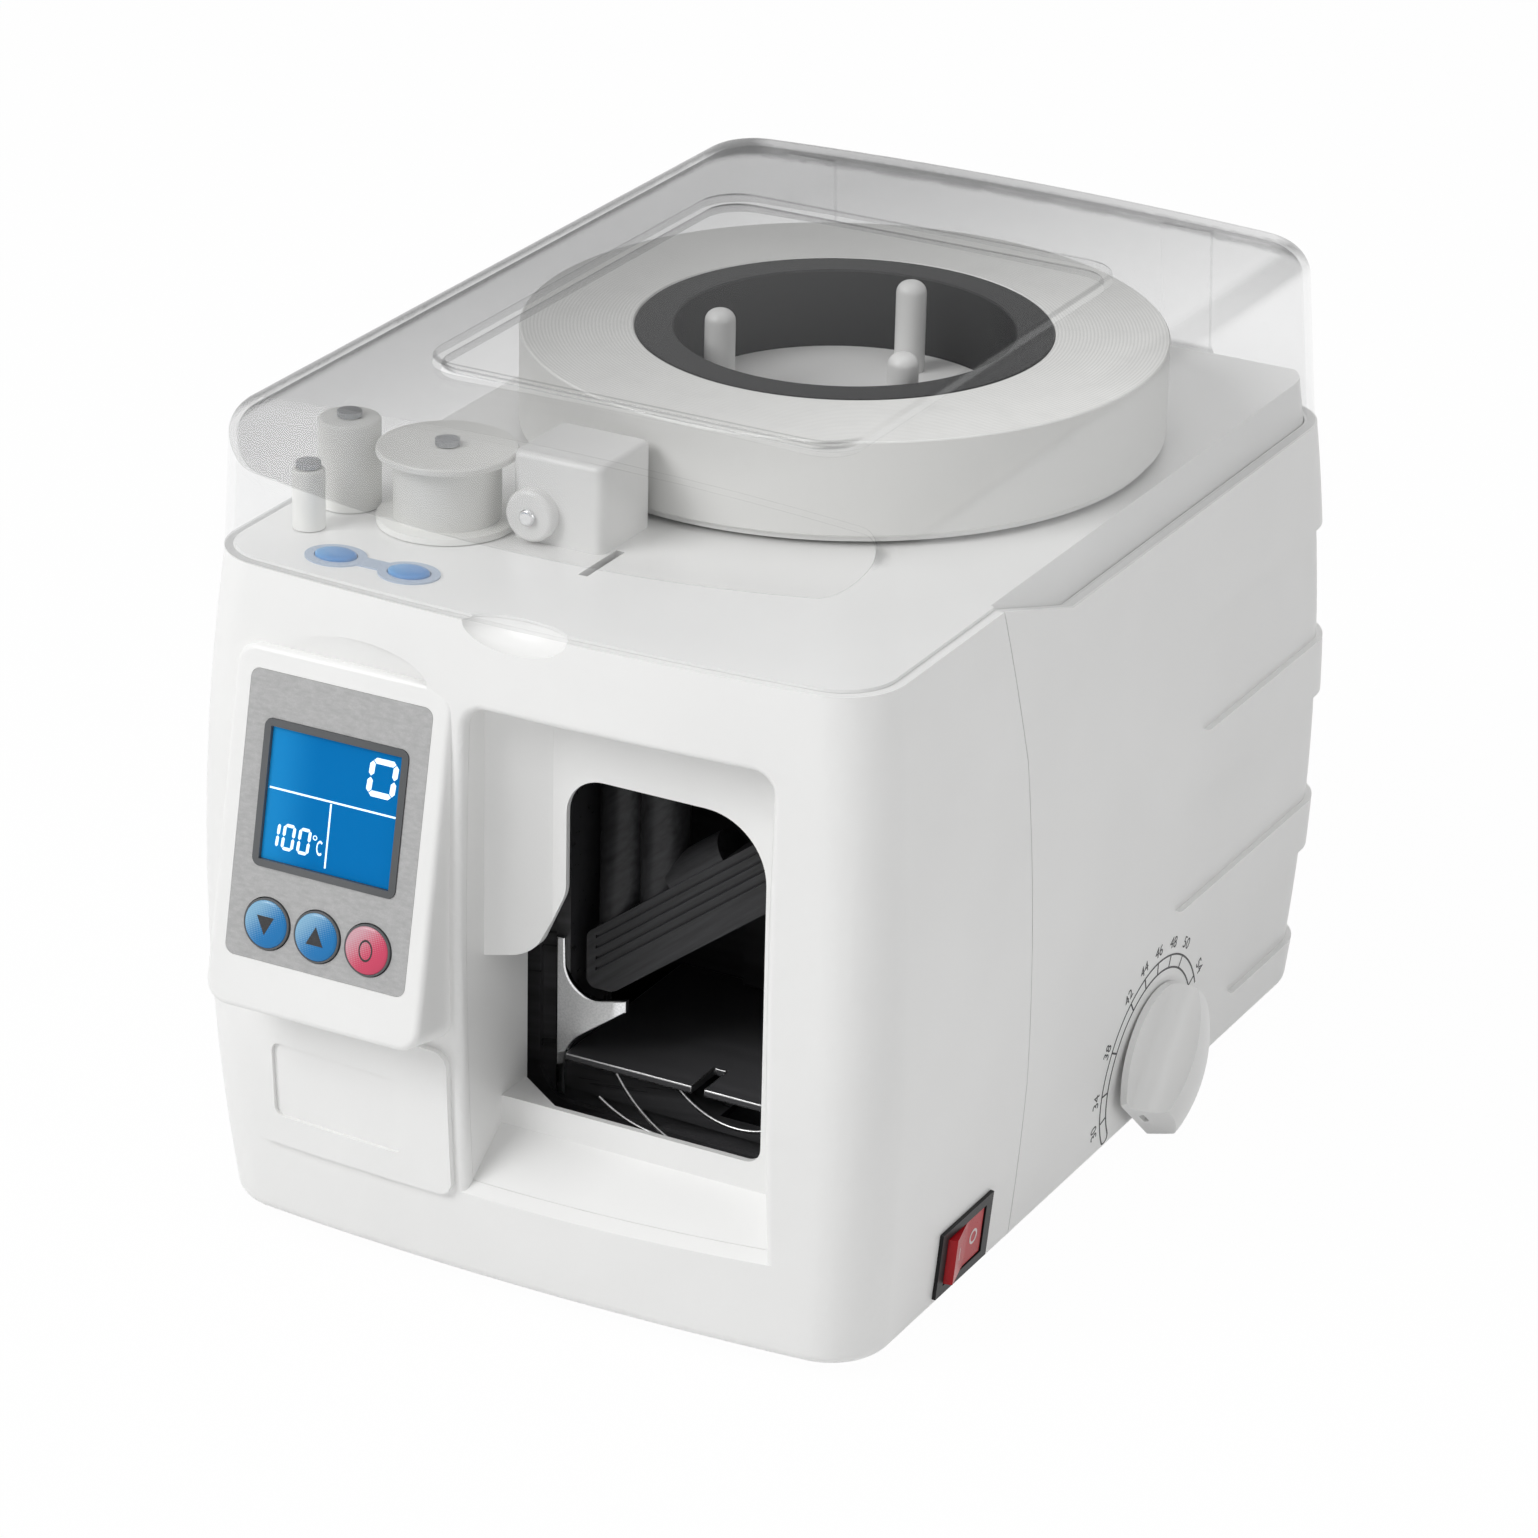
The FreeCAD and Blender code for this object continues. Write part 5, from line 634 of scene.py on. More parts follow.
def swept(section: Sequence[Pair], start: float, sweep: float, steps: int) -> Mesh:
    """Sweep a section of radius and height about the upright axis.

    Args:
        section: Corners of the section, in millimetres.
        start: Angle in radians at which the sweep starts.
        sweep: Angle in radians that it covers.
        steps: Number of faces along it.

    Returns:
        The closed solid.
    """
    mesh = bmesh.new()
    face = mesh.faces.new([mesh.verts.new((radius, 0, height)) for radius, height in section])
    bmesh.ops.rotate(mesh, cent=(0, 0, 0), matrix=Matrix.Rotation(start, 3, "Z"), verts=mesh.verts)
    bmesh.ops.spin(mesh, geom=[face], cent=(0, 0, 0), axis=(0, 0, 1), dvec=(0, 0, 0),
                   angle=sweep, steps=steps, use_merge=False, use_duplicate=False)
    bmesh.ops.recalc_face_normals(mesh, faces=mesh.faces)
    return mesh


def lathe(profile: Sequence[Pair], steps: int, closed: bool = False) -> Mesh:
    """Spin a profile of radius and height round the upright axis.

    Args:
        profile: Points from one end to the other, in millimetres.
        steps: Number of faces round the axis.
        closed: Whether the last point joins the first, as on a ring.

    Returns:
        The closed surface.
    """
    mesh = bmesh.new()
    verts = [mesh.verts.new((radius, 0, height)) for radius, height in profile]
    pairs = list(zip(verts, verts[1:]))
    if closed:
        pairs.append((verts[-1], verts[0]))
    edges = [mesh.edges.new(pair) for pair in pairs]
    bmesh.ops.spin(mesh, geom=verts + edges, cent=(0, 0, 0), axis=(0, 0, 1), dvec=(0, 0, 0),
                   angle=2 * math.pi, steps=steps, use_merge=True, use_duplicate=False)
    bmesh.ops.remove_doubles(mesh, verts=mesh.verts, dist=JOIN)
    bmesh.ops.dissolve_degenerate(mesh, edges=mesh.edges, dist=JOIN)
    bmesh.ops.recalc_face_normals(mesh, faces=mesh.faces)
    return mesh


def polygon(corners: Sequence[Pair], low: float, high: float) -> Mesh:
    """Thin solid of a few corners in its own plane."""
    mesh = bmesh.new()
    face = mesh.faces.new([mesh.verts.new((u, v, low)) for u, v in corners])
    return thicken(mesh, [face], high - low)


def plate(width: float, height: float, low: float, high: float) -> Mesh:
    """Thin oblong, centred on its own plane."""
    u, v = width / 2, height / 2
    return polygon(((-u, -v), (u, -v), (u, v), (-u, v)), low, high)


def joined(parts: Sequence[Mesh]) -> Mesh:
    """Put several bmeshes into one, and free them."""
    whole = bmesh.new()
    for part in parts:
        data = bpy.data.meshes.new("part")
        part.to_mesh(data)
        part.free()
        whole.from_mesh(data)
        bpy.data.meshes.remove(data)
    return whole


def arc_band(radius: float, width: float, start: float, end: float, low: float,
             high: float) -> Mesh:
    """Printed arc: a flat band spun between two angles in degrees, with a little body."""
    inner, outer = radius - width / 2, radius + width / 2
    section = ((inner, low), (outer, low), (outer, high), (inner, high))
    return swept(section, math.radians(start), math.radians(end - start),
                 max(3, round(abs(end - start) / 3)))


def lettering(text: str, height: float, low: float, high: float) -> Mesh:
    """Numerals as a thin solid, centred on their own plane.

    Args:
        text: The characters.
        height: Size of the type in millimetres.
        low: Where its back lies.
        high: Where its front lies.

    Returns:
        The numerals' mesh.
    """
    curve = bpy.data.curves.new("numerals", "FONT")
    curve.body = text
    curve.size = height
    curve.align_x = "CENTER"
    curve.align_y = "CENTER"
    curve.resolution_u = 3
    curve.extrude = (high - low) / 2
    holder = bpy.data.objects.new("numerals", curve)
    data = bpy.data.meshes.new_from_object(holder)
    mesh = bmesh.new()
    mesh.from_mesh(data)
    bpy.data.objects.remove(holder)
    bpy.data.curves.remove(curve)
    bpy.data.meshes.remove(data)
    bmesh.ops.remove_doubles(mesh, verts=mesh.verts, dist=JOIN)
    bmesh.ops.translate(mesh, vec=(0, 0, (high + low) / 2), verts=mesh.verts)
    return mesh


SEGMENTS = {"0": "abcdef", "1": "bc"}


def segment_digit(character: str, width: float, height: float, stroke: float) -> list[Mesh]:
    """One seven-segment digit as separate lit bars with pointed ends.

    Args:
        character: The digit.
        width: Width over all, in millimetres.
        height: Height over all.
        stroke: Thickness of a bar.

    Returns:
        One mesh for each lit bar, centred on the digit.
    """
    half_w, half_h = (width - stroke) / 2, (height - stroke) / 2
    ends = {"a": ((-half_w, half_h), (half_w, half_h)), "b": ((half_w, half_h), (half_w, 0)),
            "c": ((half_w, 0), (half_w, -half_h)), "d": ((-half_w, -half_h), (half_w, -half_h)),
            "e": ((-half_w, 0), (-half_w, -half_h)), "f": ((-half_w, half_h), (-half_w, 0))}
    bars = []
    for name in SEGMENTS[character]:
        start, end = (Vector(point) for point in ends[name])
        along = (end - start).normalized()
        across = Vector((-along.y, along.x)) * stroke / 2
        gap, point = along * stroke * 0.12, along * stroke * 0.5
        start, end = start + gap, end - gap
        corners = [start, start + point + across, end - point + across, end,
                   end - point - across, start + point - across]
        bars.append(polygon([tuple(corner) for corner in corners], *LIT))
    return bars


@dataclass(frozen=True)
class Plane:
    """A flat place on the machine, with its own across, up and outward directions."""

    origin: Vector
    across: Vector
    up: Vector
    out: Vector

    def place(self, u: float = 0.0, v: float = 0.0, w: float = 0.0, turn: float = 0.0) -> Matrix:
        """Matrix that carries a mesh in millimetres to u, v, w, turned by degrees."""
        axes = Matrix((self.across, self.up, self.out)).transposed().to_4x4()
        spot = self.origin + self.across * u + self.up * v + self.out * w
        return Matrix.Translation(spot) @ axes @ Matrix.Rotation(math.radians(turn), 4, "Z")


def side_plane(node: str) -> Plane:
    """Plane across the machine's right side, level with the middle of a CAD piece."""
    low, high = box_mm(node)
    centre = (low + high) / 2
    return Plane(Vector((0, centre.y, centre.z)), Vector((0, 1, 0)), Vector((0, 0, 1)),
                 Vector((1, 0, 0)))


def front_plane(node: str) -> Plane:
    """Find the flat front of a CAD piece, with its middle as the origin."""
    data = frame["nodes"][node].data
    out = max(data.polygons, key=lambda face: face.area * (face.normal.y < -0.9)).normal.copy()
    across = Vector((1, 0, 0))
    up = out.cross(across).normalized()
    top = max(vertex.co.dot(out) for vertex in data.vertices)
    front = [v.co for v in data.vertices if top - v.co.dot(out) < 0.05 * MM]
    middle = [(min(p.dot(way) for p in front) + max(p.dot(way) for p in front)) / 2
              for way in (across, up)]
    origin = (across * middle[0] + up * middle[1] + out * top) / MM
    return Plane(origin, across, up, out)


def drape(mesh: Mesh, node: str, lift: float) -> Mesh:
    """Lay a print, drawn flat on the machine's right side, onto its barrelled wall.

    Args:
        mesh: Print in metres, its own thickness along X from zero.
        node: CAD node whose outer surface carries it.
        lift: How far the ink stands clear of the wall, in millimetres.

    Returns:
        The same mesh, without what misses the wall.
    """
    source = frame["nodes"][node].data
    wall = BVHTree.FromPolygons([v.co for v in source.vertices],
                                [tuple(p.vertices) for p in source.polygons])
    missed = []
    for vertex in mesh.verts:
        hit = wall.ray_cast(Vector((1, vertex.co.y, vertex.co.z)), Vector((-1, 0, 0)))[0]
        if hit is None or hit.x < 0:
            missed.append(vertex)
            continue
        vertex.co.x += hit.x + lift * MM
    bmesh.ops.delete(mesh, geom=missed, context="VERTS")
    return mesh


# --- sub-assemblies -----------------------------------------------------------
class Assembly:
    """Common ways of the sub-assemblies: fit a piece, skin a node, dress a node."""

    def fit(self, piece: Piece, body: str, slot: str, *nodes: str) -> Piece:
        """Let a piece ride on a body, and stand for CAD nodes."""
        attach(piece, body)
        if nodes:
            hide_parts(*nodes)
        LOG.info("%s rides on %s", piece.name, body)
        return piece

    def skin(self, node: str, finish: Finish, slot: str, crease: float = 32.0) -> Piece:
        """Show a curved CAD node by its merged and smoothed skin."""
        body = frame["nodes"][node]["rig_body"]
        return self.fit(merged_skin(node, finish, crease), body, slot, node)

    def skins(self, finish: Finish, slot: str, *nodes: str) -> None:
        """Skin several nodes alike."""
        for node in nodes:
            self.skin(node, finish, slot)

    def edged_skin(self, node: str, finish: Finish, edge: Finish, width: float,
                   slot: str) -> Piece:
        """Skin of a part whose broken edges look other than its faces.

        Args:
            node: Name of the CAD node.
            finish: What its faces are made of.
            edge: What shows along the edges.
            width: Width of the broken edge, in millimetres.
            slot: Material slot of the record; not used.

        Returns:
            The skin.
        """
        piece = self.skin(node, finish, slot)
        piece.data.materials.append(edge.material())
        broken = piece.modifiers.new("broken_edge", "BEVEL")
        broken.width = width * MM
        broken.segments = 2
        broken.limit_method = "ANGLE"
        broken.angle_limit = math.radians(40)
        broken.material = 1
        piece.modifiers.move(len(piece.modifiers) - 1, 0)
        return piece

    def dress(self, finish: Finish, *nodes: str) -> None:
        """Give flat-faced CAD nodes their finish as they are."""
        for node in nodes:
            for place in frame["nodes"][node].material_slots:
                place.material = finish.material()
            LOG.info("%s keeps its CAD mesh", node)


@dataclass
class Body(Assembly):
    """Moulded housings with base plate, feet and their screws."""

    crease: float = 24.0

    def build(self) -> None:
        """Skin both housings and the feet, and dress the base."""
        for node in ("front_housing", "rear_housing", "slot_liner"):
            self.skin(node, SHELL_ABS, "white_shell", self.crease)
        self.skins(RUBBER, "feed_rubber", "rubber_feet")
        self.skins(ZINC, "steel", "foot_screws", "hinge_pins")
        self.dress(ZINC, "base_plate")


@dataclass
class Cover(Assembly):
    """Clear dust cover on its two hinges."""

    edge: float = 0.6

    def build(self) -> None:
        """Skin the cover in clear plastic, with painted shade along its folded edges."""
        self.edged_skin("dust_cover", COVER_PC, COVER_FOLD_SHADE_PC, self.edge, "clear_cover")


@dataclass
class Reel(Assembly):
    """Roll of paper tape on its core, over the turntable with three pegs."""

    steps: int = 128
    edge: float = 0.5
    gap: float = 0.1
    turn: float = 1.1

    def build(self) -> None:
        """Lathe the roll and the core, and skin the turntable."""
        low, high = box_mm("tape_roll")
        core_low, core_high = box_mm("core_ring")
        centre = (low + high) / 2
        core = (core_high.x - core_low.x) / 2
        axis = Matrix.Translation((centre.x, centre.y, 0))
        paper = WoundPaper("paper_tape_white_wound", "F4F4F2", "E4E4E2",
                           (centre.x * MM, centre.y * MM, 0), self.turn)
        roll = lathe(self.ring(core + self.gap, (high.x - low.x) / 2, low.z, high.z),
                     self.steps, closed=True)
        self.fit(make(set_down(roll, axis), "tape_roll_wound", paper), "reel", "paper_tape",
                 "tape_roll")
        ring = lathe(self.ring(self.bore("core_ring", centre), core, core_low.z, core_high.z),
                     self.steps, closed=True)
        self.fit(make(set_down(ring, axis), "core_ring_moulded", CORE_PS), "reel",
                 "black_core", "core_ring")
        self.skins(DECK_ABS, "white_deck", "reel_turntable")
        self.skins(ACETAL, "acetal", "reel_spindle")

    def ring(self, inner: float, outer: float, low: float, high: float) -> list[Pair]:
        """Section of a ring with its four edges broken."""
        edge = self.edge
        return [(inner + edge, low), (outer - edge, low), (outer, low + edge),
                (outer, high - edge), (outer - edge, high), (inner + edge, high),
                (inner, high - edge), (inner, low + edge)]

    def bore(self, node: str, centre: Vector) -> float:
        """Radius of a ring's bore: its mesh point nearest the axis."""
        return min((vertex.co.xy / MM - centre.xy).length
                   for vertex in frame["nodes"][node].data.vertices)


@dataclass
class Deck(Assembly):
    """Tape deck with its rollers, guide block and feed keys.

    A key's dome is given as shares of its radius, each with a height over its top.
    """

    key_steps: int = 48
    flange: float = 1.0                      # the keys' hidden flange is this much wider
    dome: tuple[Pair, ...] = (
        (1, -0.9), (0.97, -0.55), (0.88, -0.28), (0.66, -0.1), (0.33, -0.02), (0, 0))

    def build(self) -> None:
        """Skin the deck and what turns on it, and model the domed keys."""
        self.skin("tray_deck", DECK_ABS, "white_deck", 26.0)
        self.skins(ACETAL, "acetal", "post_roller", "small_roller", "guide_pulley")
        self.skins(ZINC, "steel", "roller_spindles")
        self.skins(DECK_ABS, "white_deck", "guide_block")
        self.skins(CHROME, "chrome_part", "guide_screw")
        self.skins(SURROUND_PC, "key_grey_blue", "key_surround")
        for node in ("feed_key", "retract_key"):
            self.key(node)

    def key(self, node: str) -> None:
        """Oval key with a domed top, over the CAD key's own stem."""
        low, high = box_mm(node)
        centre = (low + high) / 2
        half_x, half_y = ((high - low) / 2).xy - Vector((self.flange, self.flange))
        mesh = lathe([(0, low.z), (1, low.z)]
                     + [(share, high.z + over) for share, over in self.dome], self.key_steps)
        bmesh.ops.scale(mesh, vec=(half_x, half_y, 1), verts=mesh.verts)
        finish = DomedKey("silicone_blue_key_" + node, "2C7FC4", "5BA6DE",
                          (centre.x * MM, centre.y * MM, high.z * MM), half_x,
                          face=(1.0, 1.0, 0.0))
        set_down(mesh, Matrix.Translation((centre.x, centre.y, 0)))
        body = frame["nodes"][node]["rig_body"]
        self.fit(make(mesh, node + "_domed", finish, 50.0), body, "key_blue", node)


class Mark(Enum):
    """Sign printed on a console button, as its corners in millimetres."""

    DOWN = ((-2.9, 2.4), (0.0, -3.2), (2.9, 2.4))
    UP = ((-2.9, -2.4), (2.9, -2.4), (0.0, 3.2))


@dataclass
class Console(Assembly):
    """Sloping console: silver film, display in its bezel, and three domed buttons.

    Places on the display are across and up from its middle; a bar adds its width and
    height. The buttons' crown is given as shares of the radius, each with a drop.
    """

    lcd_half: float = 22.1
    glow: float = 0.16
    bars: tuple[tuple[float, float, float, float], ...] = (
        (0.05, 8.8, 42.7, 0.55), (-0.3, -1.45, 0.55, 19.3))
    zero_at: Pair = (15.8, 19.2)
    zero_size: Triple = (9.6, 11.6, 1.75)
    small_at: tuple[float, ...] = (-18.6, -13.4, -8.1)
    small_row: float = -4.8
    small_size: Triple = (4.2, 8.0, 0.95)
    slant: float = 0.08
    degree_at: Triple = (-4.5, -2.9, 0.0)
    celsius_at: Triple = (-2.6, -5.6, 0.0)
    button_row: float = -31.5
    radius: float = 7.75
    rim: float = 0.55
    proud: float = 1.4
    foot: float = -3.0
    crown: tuple[Pair, ...] = ((0.78, 0.2), (0.52, 0.07), (0.26, 0.01), (0, 0))
    steps: int = 64

    def build(self) -> None:
        """Dress film and boards, light the display, and model the buttons."""
        panel = front_plane("console_overlay")
        glass = front_plane("lcd_module")
        self.skins(FILM, "grey_film", "console_overlay")
        self.skins(BEZEL_ABS, "lcd_black", "lcd_bezel")
        self.display(panel, glass)
        self.dress(BOARD, "console_board")
        for node, colours, mark in (("key_down", ("1F78B8", "8DB9D4"), Mark.DOWN),
                                    ("key_up", ("1F78B8", "8DB9D4"), Mark.UP),
                                    ("key_reset", ("D04A68", "D0A9B2"), None)):
            self.button(node, panel, colours, mark)

    def display(self, panel: Plane, glass: Plane) -> None:
        """Lit glass with dividing lines and digits on it."""
        depth = (glass.origin - panel.origin).dot(panel.out)
        lamp = panel.place(-self.lcd_half, 0, depth).translation
        lit = BacklitDisplay("lcd_glass_blue_backlit", "006CAE", "1A84C4", self.glow,
                             tuple(lamp * MM), self.lcd_half * 0.8)
        self.skins(lit, "lcd_blue", "lcd_module")
        marks = [carried(plate(width, height, *LIT), Matrix.Translation((u, v, 0)))
                 for u, v, width, height in self.bars]
        digits = [("0", *self.zero_at, self.zero_size)]
        digits += [(character, u, self.small_row, self.small_size)
                   for character, u in zip("100", self.small_at)]
        italic = Matrix.Identity(4)
        italic[0][1] = self.slant
        for character, u, v, size in digits:
            marks += [carried(bar, Matrix.Translation((u, v, 0)) @ italic)
                      for bar in segment_digit(character, *size)]
        degree = arc_band(0.6, 0.28, 0, 360, *LIT)
        celsius = carried(arc_band(1.0, 0.36, 50, 310, *LIT), Matrix.Diagonal((1, 1.9, 1, 1)))
        marks += [carried(degree, Matrix.Translation(self.degree_at)),
                  carried(celsius, Matrix.Translation(self.celsius_at))]
        mesh = set_down(joined(marks), panel.place(0, 0, depth))
        self.fit(make(mesh, "lcd_digits_lit", LCD_MARK), "machine", "lcd_blue")

    def button(self, node: str, panel: Plane, colours: tuple[str, str], mark: Mark | None) -> None:
        """Round button with a domed cap in a dark ring, and its printed mark."""
        low, high = box_mm(node)
        u = (low.x + high.x) / 2 - panel.origin.x
        body = frame["nodes"][node]["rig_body"]
        slot = "key_red" if mark is None else "key_blue"
        inner, top = self.radius - self.rim, self.proud
        cap = lathe([(0, self.foot), (inner, self.foot), (inner, top - 0.75),
                     (inner - 0.25, top - 0.45)]
                    + [(self.radius * share, top - drop) for share, drop in self.crown],
                    self.steps)
        spot = panel.place(u, self.button_row, 0)
        finish = DomedKey("epoxy_domed_" + node, *colours, tuple(spot.translation * MM),
                          self.radius)
        self.fit(make(set_down(cap, spot), node + "_dome", finish, 60.0), body, slot, node)
        ring = lathe([(inner, self.foot), (self.radius, self.foot), (self.radius, top - 0.85),
                      (self.radius - 0.2, top - 0.6), (inner, top - 0.6)], self.steps, closed=True)
        self.fit(make(set_down(ring, spot), node + "_ring", BEZEL_ABS), body, slot)
        if mark is None:
            sign = carried(arc_band(2.6, 0.55, 0, 360, *INK), Matrix.Diagonal((0.8, 1.15, 1, 1)))
        else:
            sign = polygon(mark.value, *INK)
        set_down(sign, panel.place(u, self.button_row, top - LIFT))
        self.fit(make(sign, node + "_mark", INK_BLACK), body, slot)


@dataclass
class NoteChamber(Assembly):
    """What shows through the note slot: table, track, deflector, guides and walls.

    Bright curved beads on the track's front are painted highlights for the lit arcs there, each
    given by three points across and up, in millimetres from the track's left lower corner.
    """

    bead: float = 0.55
    sunk: float = 0.1
    steps: int = 24
    round_steps: int = 6
    beads: tuple[tuple[Pair, ...], ...] = (
        ((25.4, 10.6), (35.5, 5.2), (46.1, 3.0)),
        ((30.7, 21.0), (42.7, 7.0), (50.2, 2.4)),
        ((50.7, 22.5), (60.7, 14.6), (80.7, 13.5)))

    def build(self) -> None:
        """Coat the sheet parts black, brighten the table's edges as wear and painted highlight,
        and chrome the deflector.
        """
        self.dress(CHAMBER_COAT, "chamber_front", "chamber_rear")
        # bright broken edges of the table: wear and a painted highlight
        self.edged_skin("note_table", TABLE_COAT, WORN_EDGE_HIGHLIGHT, 0.45, "dark_table")
        self.skins(TRACK_COAT, "dark_table", "tape_track")
        self.skins(GUIDE_COAT, "dark_table", "upper_guide")
        self.skin("chrome_deflector", CHROME, "chrome_part", 20.0)
        self.skins(CHAMBER_COAT, "dark_table", "note_stop")
        self.dress(ZINC, "chassis_plate")
        self.dress(BLUED, "press_block", "heater_plate")
        # bright beads on the track: painted highlight arcs
        low, _high = box_mm("tape_track")
        front = Plane(low, Vector((1, 0, 0)), Vector((0, 0, 1)), Vector((0, -1, 0)))
        mesh = joined([self.highlight_bead(points) for points in self.beads])
        self.fit(make(set_down(mesh, front.place()), "tape_track_highlight_beads", WORN_EDGE_HIGHLIGHT, 70.0),
                 "machine", "chrome_part")

    def highlight_bead(self, points: Sequence[Pair]) -> Mesh:
        """Spin a half-round bead along the arc through three points."""
        (ax, ay), (bx, by), (cx, cy) = points
        side = 2 * (ax * (by - cy) + bx * (cy - ay) + cx * (ay - by))
        squares = [x * x + y * y for x, y in points]
        middle = Vector(((squares[0] * (by - cy) + squares[1] * (cy - ay)
                          + squares[2] * (ay - by)) / side,
                         (squares[0] * (cx - bx) + squares[1] * (ax - cx)
                          + squares[2] * (bx - ax)) / side))
        arms = [Vector(point) - middle for point in (points[0], points[2])]
        start, end = (math.atan2(arm.y, arm.x) for arm in arms)
        sweep = (end - start + math.pi) % (2 * math.pi) - math.pi
        angles = [math.pi * step / self.round_steps for step in range(self.round_steps + 1)]
        section = [(arms[0].length + self.bead * math.cos(angle),
                    self.bead * math.sin(angle) - self.sunk) for angle in angles]
        mesh = swept(section, start, sweep, self.steps)
        return carried(mesh, Matrix.Translation((middle.x, middle.y, 0)))


@dataclass
class Drive(Assembly):
    """Feed and press drives, and the electrics on the base plate."""

    def build(self) -> None:
        """Finish motors, rollers, camshaft, transformer and board."""
        self.skins(MOTOR_STEEL, "steel", "feed_motor", "cam_motor")
        self.skins(ZINC, "steel", "pinch_axle")
        self.skins(RUBBER, "feed_rubber", "feed_roller")
        self.skins(ACETAL, "acetal", "pinch_roller")
        self.skins(ZINC, "steel", "camshaft")
        self.skins(ACETAL, "acetal", "dial_shaft", "stop_rack")
        self.dress(ZINC, "dial_bracket", "transformer")
        self.dress(BOARD, "main_board")


@dataclass
class Dial(Assembly):
    """Strap position dial: the knob and the scale printed on the side wall."""

    inner: float = 29.5
    outer: float = 33.7
    ring: float = 37.6
    line: float = 0.62
    size: float = 5.4
    foot_angle: float = 212.0
    past_last: float = 6.0
    steps: tuple[tuple[str, float], ...] = (
        ("30", 197.0), ("34", 179.0), ("38", 154.0), ("42", 125.6), ("46", 92.0),
        ("50", 58.2), ("54", 29.5))
    minor: tuple[tuple[str, float], ...] = (("44", 108.0), ("48", 75.5))

    def build(self) -> None:
        """Skin the knob and lay the scale on the wall."""
        self.skin("dial_knob", KNOB_ABS, "white_shell", 28.0)
        start = self.steps[-1][1] - self.past_last
        parts = [arc_band(radius, self.line, start, self.foot_angle, *INK)
                 for radius in (self.inner, self.outer)]
        middle, width = (self.outer + self.inner) / 2, self.outer - self.inner
        close = arc_band(width / 2, self.line, 180, 360, *INK)
        parts.append(carried(close, self.spoke(self.foot_angle, middle, 180)))
        for text, angle in self.steps + self.minor:
            tick = plate(width, self.line, *INK)
            parts += [carried(tick, self.spoke(angle, middle)),
                      carried(lettering(text, self.size, *INK), self.spoke(angle, self.ring, -90))]
        mesh = drape(set_down(joined(parts), side_plane("dial_knob").place()), "rear_housing",
                     LIFT)
        self.fit(make(mesh, "dial_scale_print", INK_BLACK), "machine", "knob_black")

    def spoke(self, angle: float, reach: float, turn: float = 0.0) -> Matrix:
        """Place at a reach along a spoke of the dial, turned on the spot, in degrees."""
        return Matrix.Rotation(math.radians(angle), 4, "Z") @ \
            Matrix.Translation((reach, 0, 0)) @ Matrix.Rotation(math.radians(turn), 4, "Z")


@dataclass
class Power(Assembly):
    """Rocker switch in the side wall and mains inlet at the rear."""

    mark: float = 4.2
    line: float = 0.8

    def build(self) -> None:
        """Finish the bezel, the rocker with its two marks, and the inlet."""
        self.skins(NYLON_BLACK, "black_plastic", "switch_bezel")
        self.skin("power_rocker", ROCKER_PC, "key_red", 28.0)
        self.skins(NYLON_BLACK, "black_plastic", "power_inlet")
        low, high = box_mm("power_rocker")
        reach = (high.y - low.y) / 4
        side = side_plane("power_rocker")
        on = set_down(plate(self.line, self.mark, *INK), side.place(-reach))
        off = set_down(arc_band(self.mark / 2, self.line, 0, 360, *INK), side.place(reach))
        marks = drape(joined([on, off]), "power_rocker", LIFT)
        self.fit(make(marks, "power_rocker_marks", INK_PALE), "rocker", "key_red")


# --- studio -------------------------------------------------------------------
@dataclass(frozen=True)
class Lamp:
    """A soft box: where it stands, what it looks at, its size and its power."""

    name: str
    spot: Triple
    aim: Triple
    size: float
    watts: float


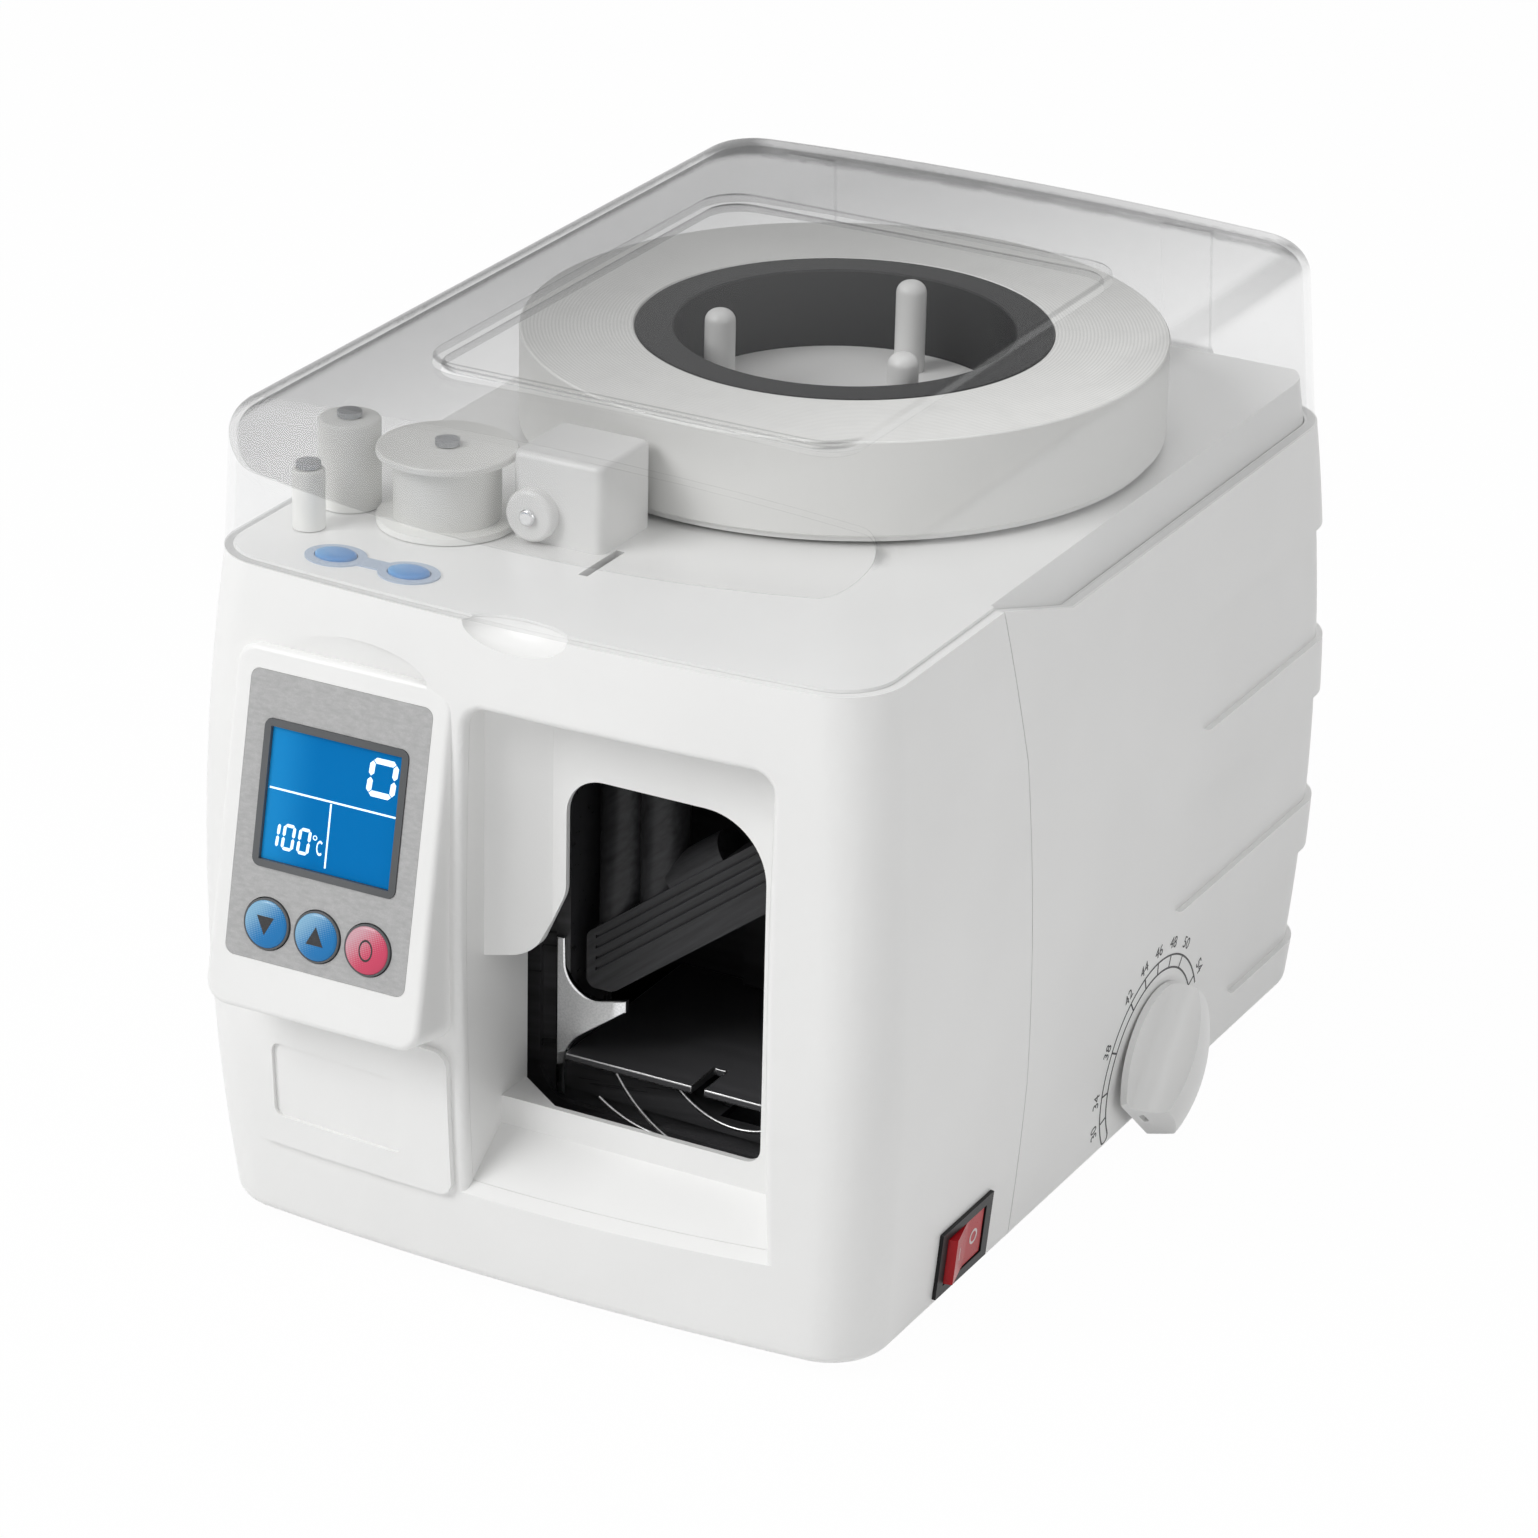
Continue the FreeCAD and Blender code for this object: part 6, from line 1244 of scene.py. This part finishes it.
@dataclass
class Studio:
    """Plain pale floor, soft lamps, and the camera."""

    camera_at: Triple = (0.76913, -1.46457, 0.85078)
    heading: float = 27.907
    pitch: float = 23.909
    roll: float = 1.329
    lens: float = 137.57
    world_level: float = 0.35
    floor_size: float = 12.0
    floor_lift: float = 0.98
    lamps: tuple[Lamp, ...] = (
        Lamp("key_soft_box", (-1.2, -1.9, 1.85), (0, 0, 0.12), 1.4, 42.0),
        Lamp("top_soft_box", (0.0, 0.1, 2.2), (0, 0, 0.1), 1.8, 11.0),
        Lamp("side_soft_box", (0.75, -0.25, 0.45), (0, 0, 0.12), 0.4, 0.75))

    def build(self) -> None:
        """Set the view, the world, the lamps, the floor and the camera."""
        scene = bpy.context.scene
        scene.view_settings.view_transform = "Standard"
        self.world(scene)
        for lamp in self.lamps:
            self.lamp(lamp)
        self.floor()
        self.camera(scene)

    def seen_white(self, tree: Tree) -> Socket:
        """One for rays that show the backdrop: from camera, mirror or clear plastic."""
        path = add(tree, "ShaderNodeLightPath")
        seen = path.outputs["Is Camera Ray"]
        for name in ("Is Glossy Ray", "Is Transmission Ray"):
            seen = tree.maths("MAXIMUM", seen, path.outputs[name])
        return seen

    def world(self, scene: bpy.types.Scene) -> None:
        """Pale surroundings that light the machine at a plain level and show as white."""
        world = bpy.data.worlds.new("pale_room")
        world.use_nodes = True
        tree = Tree(world.node_tree)
        light, white = (add(tree, "ShaderNodeBackground",
                            {"Strength": level, "Color": linear("FFFFFF")}).outputs[0]
                        for level in (self.world_level, 1.0))
        mix = add(tree, "ShaderNodeMixShader", {0: self.seen_white(tree), 1: light, 2: white})
        add(tree, "ShaderNodeOutputWorld", {"Surface": mix.outputs[0]})
        scene.world = world

    def lamp(self, lamp: Lamp) -> None:
        """Hang one soft box."""
        light = bpy.data.lights.new(lamp.name, "AREA")
        light.shape = "SQUARE"
        light.size = lamp.size
        light.energy = lamp.watts
        holder = shown(lamp.name, light)
        holder.location = lamp.spot
        way = Vector(lamp.aim) - Vector(lamp.spot)
        holder.rotation_euler = way.to_track_quat("-Z", "Y").to_euler()

    def floor(self) -> None:
        """White floor that keeps a soft shadow and reads nearly white to the camera."""
        mesh = bmesh.new()
        bmesh.ops.create_grid(mesh, x_segments=1, y_segments=1, size=self.floor_size / 2)
        data = bpy.data.meshes.new("floor")
        mesh.to_mesh(data)
        mesh.free()
        material = bpy.data.materials.new("floor_matt_white")
        material.use_nodes = True
        tree = Tree(material.node_tree)
        matt = add(tree, "ShaderNodeBsdfDiffuse", {"Color": linear("F0F0F0")})
        lift = add(tree, "ShaderNodeEmission", {"Color": linear("FFFFFF"), "Strength": 1.0})
        share = tree.maths("MULTIPLY", self.seen_white(tree), self.floor_lift)
        mix = add(tree, "ShaderNodeMixShader", {0: share, 1: matt.outputs[0], 2: lift.outputs[0]})
        add(tree, "ShaderNodeOutputMaterial", {"Surface": mix.outputs[0]})
        data.materials.append(material)
        shown("floor", data)

    def camera(self, scene: bpy.types.Scene) -> None:
        """Camera from the front right, a little above, with a long lens."""
        data = bpy.data.cameras.new("studio_camera")
        data.lens = self.lens
        data.sensor_width = 36.0
        holder = shown("studio_camera", data)
        turn = Matrix.Rotation(math.radians(self.heading), 4, "Z") @ \
            Matrix.Rotation(math.radians(90 - self.pitch), 4, "X") @ \
            Matrix.Rotation(math.radians(self.roll), 4, "Z")
        holder.matrix_world = Matrix.Translation(self.camera_at) @ turn
        scene.camera = holder


def main() -> None:
    """Build the studio and every sub-assembly."""
    logging.basicConfig(level=logging.INFO, format="%(message)s")
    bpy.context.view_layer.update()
    Studio().build()
    for assembly in (Body(), Cover(), Reel(), Deck(), Console(), NoteChamber(), Drive(),
                     Dial(), Power()):
        LOG.info("building %s", type(assembly).__name__)
        assembly.build()
    bpy.context.view_layer.update()


if __name__ == "__main__":
    main()
